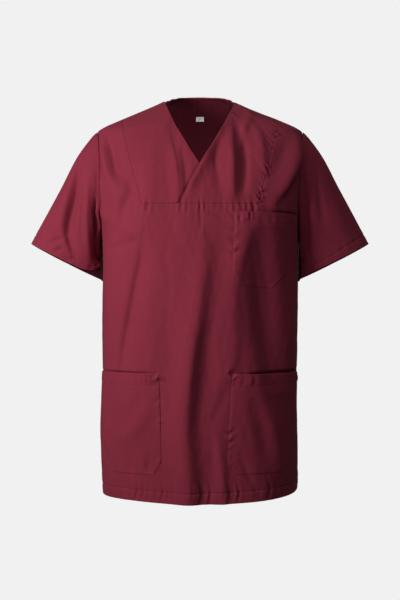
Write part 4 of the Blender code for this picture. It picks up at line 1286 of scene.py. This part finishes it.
for side in ("left", "right"):
    around, along = np.meshgrid(np.linspace(-180, 180, STEPS_ROUND_SLEEVE + 1), sleeve_rows()[::-1])
    chart = np.stack([around, along, np.zeros_like(along)], axis=-1)
    place = sleeve_cloth(side)
    tube = lay_grid("sleeve", chart, place, {"bottom": HEM, "top": SEAM})
    piece = join_grids(f"sleeve_{side}_cloth", [tube])
    turn_rim(piece, place, SEAM, SEAM_TURN)
    # the part of the hem that runs back up inside takes the inside twill, which is painted shade
    turned = len(piece.data.polygons) + FOLD_ROWS * STEPS_ROUND_SLEEVE
    turn_rim(piece, place, HEM, rolled_hem(SLEEVE_HEM))
    finish_sheet(piece, from_sleeve(side), ON_SLEEVE, turned=turned)

# %% [markdown]
# ## Patch pockets
# A pocket is a patch of the front's own form, moved out. Its corners are clipped, its mouth has a wide hem
# and stands a little open, and its other edges are turned under and stitched down, which makes them thicker
# than the middle. A slot for a pen is closed off by a short sewn line, and the cloth stands up beside it.

# %% Pockets
Pocket = namedtuple("Pocket", "side top_inner top_outer clip_inner clip_outer low_inner low_outer gape slot")
POCKETS = {
    "chest_pocket": Pocket("left", (25.5, -0.2122), (68.0, -0.2130), (22.6, -0.3163), (59.9, -0.3190),
                           (29.5, -0.3411), (50.5, -0.3460), 3.2, 34.8),
    "hip_pocket_left": Pocket("left", (22.8, -0.4954), (80.0, -0.4975), (19.6, -0.6483), (71.0, -0.6130),
                              (25.6, -0.6691), (57.5, -0.6710), 3.6, None),
    "hip_pocket_right": Pocket("right", (28.3, -0.4951), (80.0, -0.4960), (26.7, -0.6487), (71.0, -0.6170),
                               (31.5, -0.6709), (57.5, -0.6700), 3.0, 35.8),
}
POCKET_LIFT = 0.45 * MM
POCKET_EDGE_LIFT = 0.08 * MM
SLOT_LENGTH = 13.5 * MM  # the stitches that close a pen slot's side, from the mouth down
SLOT_WELT = 1.9 * MM  # how far the cloth stands up beside them
SLOT_GROOVE = 1.2 * MM
SLOT_REACH = 8.0 * MM
SLOT_END = 2.0 * MM  # over this length the sewn line ends
POCKET_RIM = 0.35 * MM  # how far the turned edges stand up, next to where they are stitched down
POCKET_RIM_AT = 4.0 * MM
POCKET_HEM = 0.0195
POCKET_GROOVE = 0.45 * MM
RIM_CROWDING = 0.11  # how much closer a grid's lines lie towards its rims
POCKET_COLUMNS = 66
POCKET_ROWS = 80
CLIP_ROWS = 18


def rim_shares(steps):
    """Shares from 0 to 1 that lie closer together towards both rims."""
    even = np.linspace(0, 1, steps + 1)
    return even - RIM_CROWDING * np.sin(2 * np.pi * even)


def at_shares(chart, across, upward):
    """A grid read again at other shares of its width and height."""
    rows, columns = (np.linspace(0, 1, count) for count in chart.shape[:2])
    chart = np.stack([[np.interp(across, columns, row[:, i]) for row in chart] for i in (0, 1)], axis=-1)
    columns = chart.transpose(1, 0, 2)
    chart = np.stack([[np.interp(upward, rows, column[:, i]) for column in columns] for i in (0, 1)], axis=-1)
    return chart.transpose(1, 0, 2)


def pocket_chart(pocket):
    """A pocket's grid over the body, with how far each of its points stands off it."""
    inner, outer = (
        joined(spread((low, clip), CLIP_ROWS), spread((clip, top), POCKET_ROWS - CLIP_ROWS))
        for low, clip, top in (
            (pocket.low_inner, pocket.clip_inner, pocket.top_inner),
            (pocket.low_outer, pocket.clip_outer, pocket.top_outer),
        )
    )
    bottom = spread((pocket.low_inner, pocket.low_outer), POCKET_COLUMNS)
    top = spread((pocket.top_inner, pocket.top_outer), POCKET_COLUMNS)
    chart = patch(bottom, top, inner, outer)
    chart = at_shares(chart, rim_shares(POCKET_COLUMNS), rim_shares(POCKET_ROWS))
    points = body_form(*chart.transpose(2, 0, 1))
    wide = np.linalg.norm(points[:, -1] - points[:, 0], axis=-1)[:, None]
    tall = np.linalg.norm(points[-1] - points[0], axis=-1)[None, :]
    u = rim_shares(POCKET_COLUMNS)[None, :]
    v = rim_shares(POCKET_ROWS)[:, None]
    gape = np.sin(np.pi * u**0.8) * np.sin(0.5 * np.pi * v) ** 4
    from_edge = np.minimum(np.minimum(u, 1 - u) * wide, v * tall) / POCKET_RIM_AT
    rim = np.clip(from_edge * 2, 0, 1) * hill(np.clip(from_edge - 0.5, 0, None), 1)
    stitched = hill((1 - v) * tall - POCKET_HEM, STITCH_GROOVE.half_width)
    lift = POCKET_EDGE_LIFT + (POCKET_LIFT - POCKET_EDGE_LIFT) * np.clip(from_edge / 1.5, 0, 1)
    lift += pocket.gape * MM * gape + POCKET_RIM * rim - POCKET_GROOVE * stitched
    if pocket.slot:
        slot_column = np.argmin(np.abs(chart[-1, :, 0] - pocket.slot))
        from_slot = (u - u[0, slot_column]) * wide
        sewn = hill(from_slot, SLOT_GROOVE)
        welt = SLOT_WELT * hill(from_slot, SLOT_REACH) * (1 - sewn)
        down = np.clip((SLOT_LENGTH - (1 - v) * tall) / SLOT_END, 0, 1)
        lift += down * (welt + sewn * (POCKET_EDGE_LIFT - lift))
        print(f"pen slot at {chart[-1, slot_column, 0]:.1f} degrees")
    chart = np.concatenate([chart, lift[..., None]], axis=-1)
    return chart if pocket.side == "left" else (chart * (-1, 1, 1))[:, ::-1]


pocket_charts = {name: pocket_chart(pocket) for name, pocket in POCKETS.items()}
for name, chart in pocket_charts.items():
    rims = {"bottom": SEAM, "top": HEM, "left": SEAM, "right": SEAM}
    piece = lay_grid(f"{name}_cloth", chart, body_cloth, rims)
    turn_rim(piece, body_cloth, SEAM, ((-0.3 * MM, 0.0), (-0.7 * MM, 0.0)))
    turn_rim(piece, body_cloth, HEM, rolled_hem(0.010))
    finish_sheet(piece, from_axis)

# %% [markdown]
# ## Inside the back neck
# A facing lines the back neck, and a small woven label hangs from its lower edge. The label is plain white
# with a woven bar and no words.

# %% Facing and label
FACING_Z = -0.0090
FACING_RIM = 2.0 * MM
FACING_ROWS = 13
RIBBON_THICKNESS = 0.3 * MM
LABEL_GAP = 0.4 * MM
LABEL_STAND_OFF = 0.9 * MM  # how far the label's lower edge hangs off the facing
LABEL_WIDTH = 15.3 * MM
LABEL_HEIGHT = 7.6 * MM
LABEL_BAR = (1.1 * MM, 1.3 * MM)  # the bar's half width and half height


def to_axis(points):
    return -from_axis(points)


def inner_cloth(chart, out=0.0):
    """The cloth's inner side, with out counted towards the wearer."""
    return body_cloth(np.asarray(chart, float), -TWILL_THICKNESS - 2 * FOLD_RADIUS - out)


facing = []
for column in neck[:, 4:-4].transpose(1, 0, 2):
    z = np.linspace(FACING_Z, column[-1, 1] - FACING_RIM, FACING_ROWS)
    facing.append(np.stack([np.interp(z, column[:, 1], column[:, 0]), z], axis=-1))
facing = np.stack(facing, axis=1)
facing_cloth = lay_grid("neck_facing_cloth", facing, inner_cloth, {"bottom": HEM})
turn_rim(facing_cloth, inner_cloth, HEM, rolled_hem(0.006))
# the facing wears the inside twill on both sides, darkened as painted shade
finish_sheet(facing_cloth, to_axis, finish=(TWILL_INSIDE_SHADED, TWILL_INSIDE_SHADED))


def label_finish(name):
    """White satin ribbon, with a small dark bar in the middle where a size would stand."""
    finish, tree, shader = new_finish(name, 0.50)
    place = add_node(tree, "ShaderNodeTexCoord").outputs["Object"]
    parts = add_node(tree, "ShaderNodeSeparateXYZ", place).outputs
    inside = []
    for axis, middle, half in zip(("X", "Z"), (0.0, FACING_Z - 0.55 * LABEL_HEIGHT), LABEL_BAR):
        near = add_node(tree, "ShaderNodeMath", parts[axis], middle, half, settings={"operation": "COMPARE"})
        inside.append(near.outputs[0])
    bar = add_node(tree, "ShaderNodeMath", *inside, settings={"operation": "MULTIPLY"})
    colour = blend_colours(tree, bar.outputs[0], 0.4, 0.6, LABEL_WHITE, LABEL_MARK)
    ribs = add_node(tree, "ShaderNodeTexWave", place, Scale=BAND_PERIOD / RIB_PITCH, Distortion=0.0)
    bump = add_node(tree, "ShaderNodeBump", Strength=0.3, Distance=RIB_DEPTH, Height=ribs.outputs["Fac"])
    set_inputs(shader, Base_Color=colour, Normal=bump.outputs[0])
    return finish


behind = body_cloth((180.0, FACING_Z - LABEL_HEIGHT / 2, 0.0))[1]
half_angle = math.degrees(LABEL_WIDTH / 2 / behind)
angle, z = np.meshgrid(
    np.linspace(180 - half_angle, 180 + half_angle, 17),
    np.linspace(FACING_Z - LABEL_HEIGHT, FACING_Z + 0.5 * MM, 13),
)
stand_off = LABEL_STAND_OFF * np.clip((FACING_Z - z) / LABEL_HEIGHT, 0, 1) ** 0.5
label = np.stack([angle, z, -LABEL_GAP - stand_off], axis=-1)
size_label = lay_grid("size_label_cloth", label, inner_cloth, {"bottom": HEM})
turn_rim(size_label, inner_cloth, HEM, rolled_hem(0.007))
label_scale = np.array([1 / (2 * half_angle), 1 / LABEL_HEIGHT])
ribbon = label_finish("label_ribbon")
finish_sheet(size_label, to_axis, label_scale, RIBBON_THICKNESS, (ribbon, ribbon))

# %% [markdown]
# ## Sewing
# A stitch is a short thread that dips into the cloth at both ends. One is modelled, and rows of copies run
# along the hems of the body and the sleeves, round the pockets and across their hems, and by the yokes'
# seams.

# %% One stitch
STITCH_PITCH = 3.0 * MM
STITCH_LENGTH = 2.3 * MM
STITCH_WIDTH = 0.42 * MM

bpy.ops.object.select_all(action="DESELECT")
bpy.ops.mesh.primitive_uv_sphere_add(segments=6, ring_count=4, radius=0.5)
stitch = bpy.context.object
edit_all(stitch, bpy.ops.transform.resize, value=(STITCH_WIDTH, STITCH_WIDTH, STITCH_LENGTH))
STITCH_POINTS = np.array([vertex.co for vertex in stitch.data.vertices])
STITCH_FACES = [tuple(face.vertices) for face in stitch.data.polygons]
bpy.data.objects.remove(stitch)
print("one stitch has", len(STITCH_FACES), "faces")

# %% Rows of stitches
YOKE_STITCH_INSET = 1.8 * MM
THREAD_RISE = 0.02 * MM  # how far a thread's middle lies off the cloth
HEM_SAMPLES = 500  # points that a row of stitches follows
SLEEVE_SAMPLES = 400


def sew(name, lines):
    """One piece with a row of stitches along each line. A line is its points on the cloth and just above."""
    points, faces = [], []
    for on, above in lines:
        marks = marks_along(on)
        ends = np.linspace(0, marks[-1], int(marks[-1] / STITCH_PITCH) + 1)
        middle = (ends[1:] + ends[:-1]) / 2
        at = read_at(on, marks, middle)
        thread = unit(np.diff(read_at(on, marks, ends), axis=0))
        up = read_at(above, marks, middle) - at
        up = unit(up - thread * np.sum(up * thread, axis=1, keepdims=True))
        axes = np.stack([np.cross(up, thread), up, thread], axis=1)
        for one in at[:, None] + STITCH_POINTS @ axes:
            start = len(points) * len(STITCH_POINTS)
            points.append(one)
            faces.extend(tuple(start + i for i in face) for face in STITCH_FACES)
    data = bpy.data.meshes.new(name)
    data.from_pydata(np.concatenate(points).tolist(), [], faces)
    data.materials.append(THREAD)
    piece = bpy.data.objects.new(name, data)
    bpy.context.scene.collection.objects.link(piece)
    edit_all(piece, bpy.ops.mesh.normals_make_consistent, inside=False)
    bpy.ops.object.shade_smooth()
    print(f"{name}: {len(points)} stitches")
    return piece


def on_cloth(place, chart):
    """A line on the cloth, and the same line just above it."""
    chart = with_lift(chart)
    return place(chart, THREAD_RISE), place(chart, 1.0 * MM)


def beside(line, distance):
    """A line moved sideways over the cloth, to its left as it runs."""
    flat = line * ON_CLOTH
    step = unit(np.gradient(flat, axis=0))
    return (flat + np.stack([-step[:, 1], step[:, 0]], axis=-1) * distance) / ON_CLOTH


def pocket_lines(chart):
    """Inside the turned edges, and across below the mouth."""
    inset = 2
    path = np.concatenate(
        [chart[-1:inset:-1, inset], chart[inset, inset + 1 : -inset - 1], chart[inset:, -inset - 1]]
    )
    below_mouth = np.linalg.norm((chart[-1, 0] - chart[:, 0])[:, :2] * ON_CLOTH, axis=-1)
    mouth_row = int(np.argmin(np.abs(below_mouth - POCKET_HEM)))
    return [path, chart[mouth_row, inset:-inset]]


yoke_side_stitches = beside(line_across(YOKE_SIDE_EDGE, 200), -YOKE_STITCH_INSET)
front_lines = [
    hem_line(-89, 89, BODY_HEM, HEM_SAMPLES),
    spread(yoke_line - (0, YOKE_STITCH_INSET), 400),
    yoke_side_stitches,
    mirrored(yoke_side_stitches),
]
back_hem = hem_line(91, 269, BODY_HEM, HEM_SAMPLES)
stitches = {
    "front_cloth": sew("front_stitches", [on_cloth(body_cloth, line) for line in front_lines]),
    "back_cloth": sew("back_stitches", [on_cloth(body_cloth, back_hem)]),
}
around = np.linspace(-180, 180, SLEEVE_SAMPLES)
sleeve_hem = np.stack([around, np.full(SLEEVE_SAMPLES, 1 - SLEEVE_HEM / SLEEVE_LENGTH)], axis=-1)
for side in ("left", "right"):
    row = on_cloth(sleeve_cloth(side), sleeve_hem)
    stitches[f"sleeve_{side}_cloth"] = sew(f"sleeve_{side}_stitches", [row])
for name, chart in pocket_charts.items():
    rows = [on_cloth(body_cloth, line) for line in pocket_lines(chart)]
    stitches[f"{name}_cloth"] = sew(f"{name}_stitches", rows)

# %% [markdown]
# ## Handing the pieces over
# Each sheet takes the place of its solid, and the table gives the size it was cut to. The sewing rides with
# its sheet.

Cut = namedtuple("Cut", "node flat area")
CUTS = {
    "front_cloth": Cut("front_body", (0.53, 0.70), 0.299),
    "back_cloth": Cut("back_body", (0.51, 0.78), 0.357),
    "yoke_left_cloth": Cut("yoke_left", (0.20, 0.24), 0.026),
    "yoke_right_cloth": Cut("yoke_right", (0.20, 0.24), 0.026),
    "sleeve_left_cloth": Cut("sleeve_left", (0.38, 0.245), 0.060),
    "sleeve_right_cloth": Cut("sleeve_right", (0.38, 0.245), 0.060),
    "chest_pocket_cloth": Cut("chest_pocket", (0.133, 0.134), 0.0155),
    "hip_pocket_left_cloth": Cut("hip_pocket_left", (0.174, 0.176), 0.0270),
    "hip_pocket_right_cloth": Cut("hip_pocket_right", (0.163, 0.177), 0.0243),
    "neck_facing_cloth": Cut("back_neck_facing", (0.168, 0.047), 0.0050),
    "size_label_cloth": Cut("size_label", (0.0153, 0.0155), None),
}
for name, cut in CUTS.items():
    piece = bpy.data.objects[name]
    sewing = [stitches[name]] if name in stitches else []
    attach(piece, "root")
    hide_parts(cut.node)
    for rows in sewing:
        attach(rows, "root")
print("sheets:", len(CUTS))
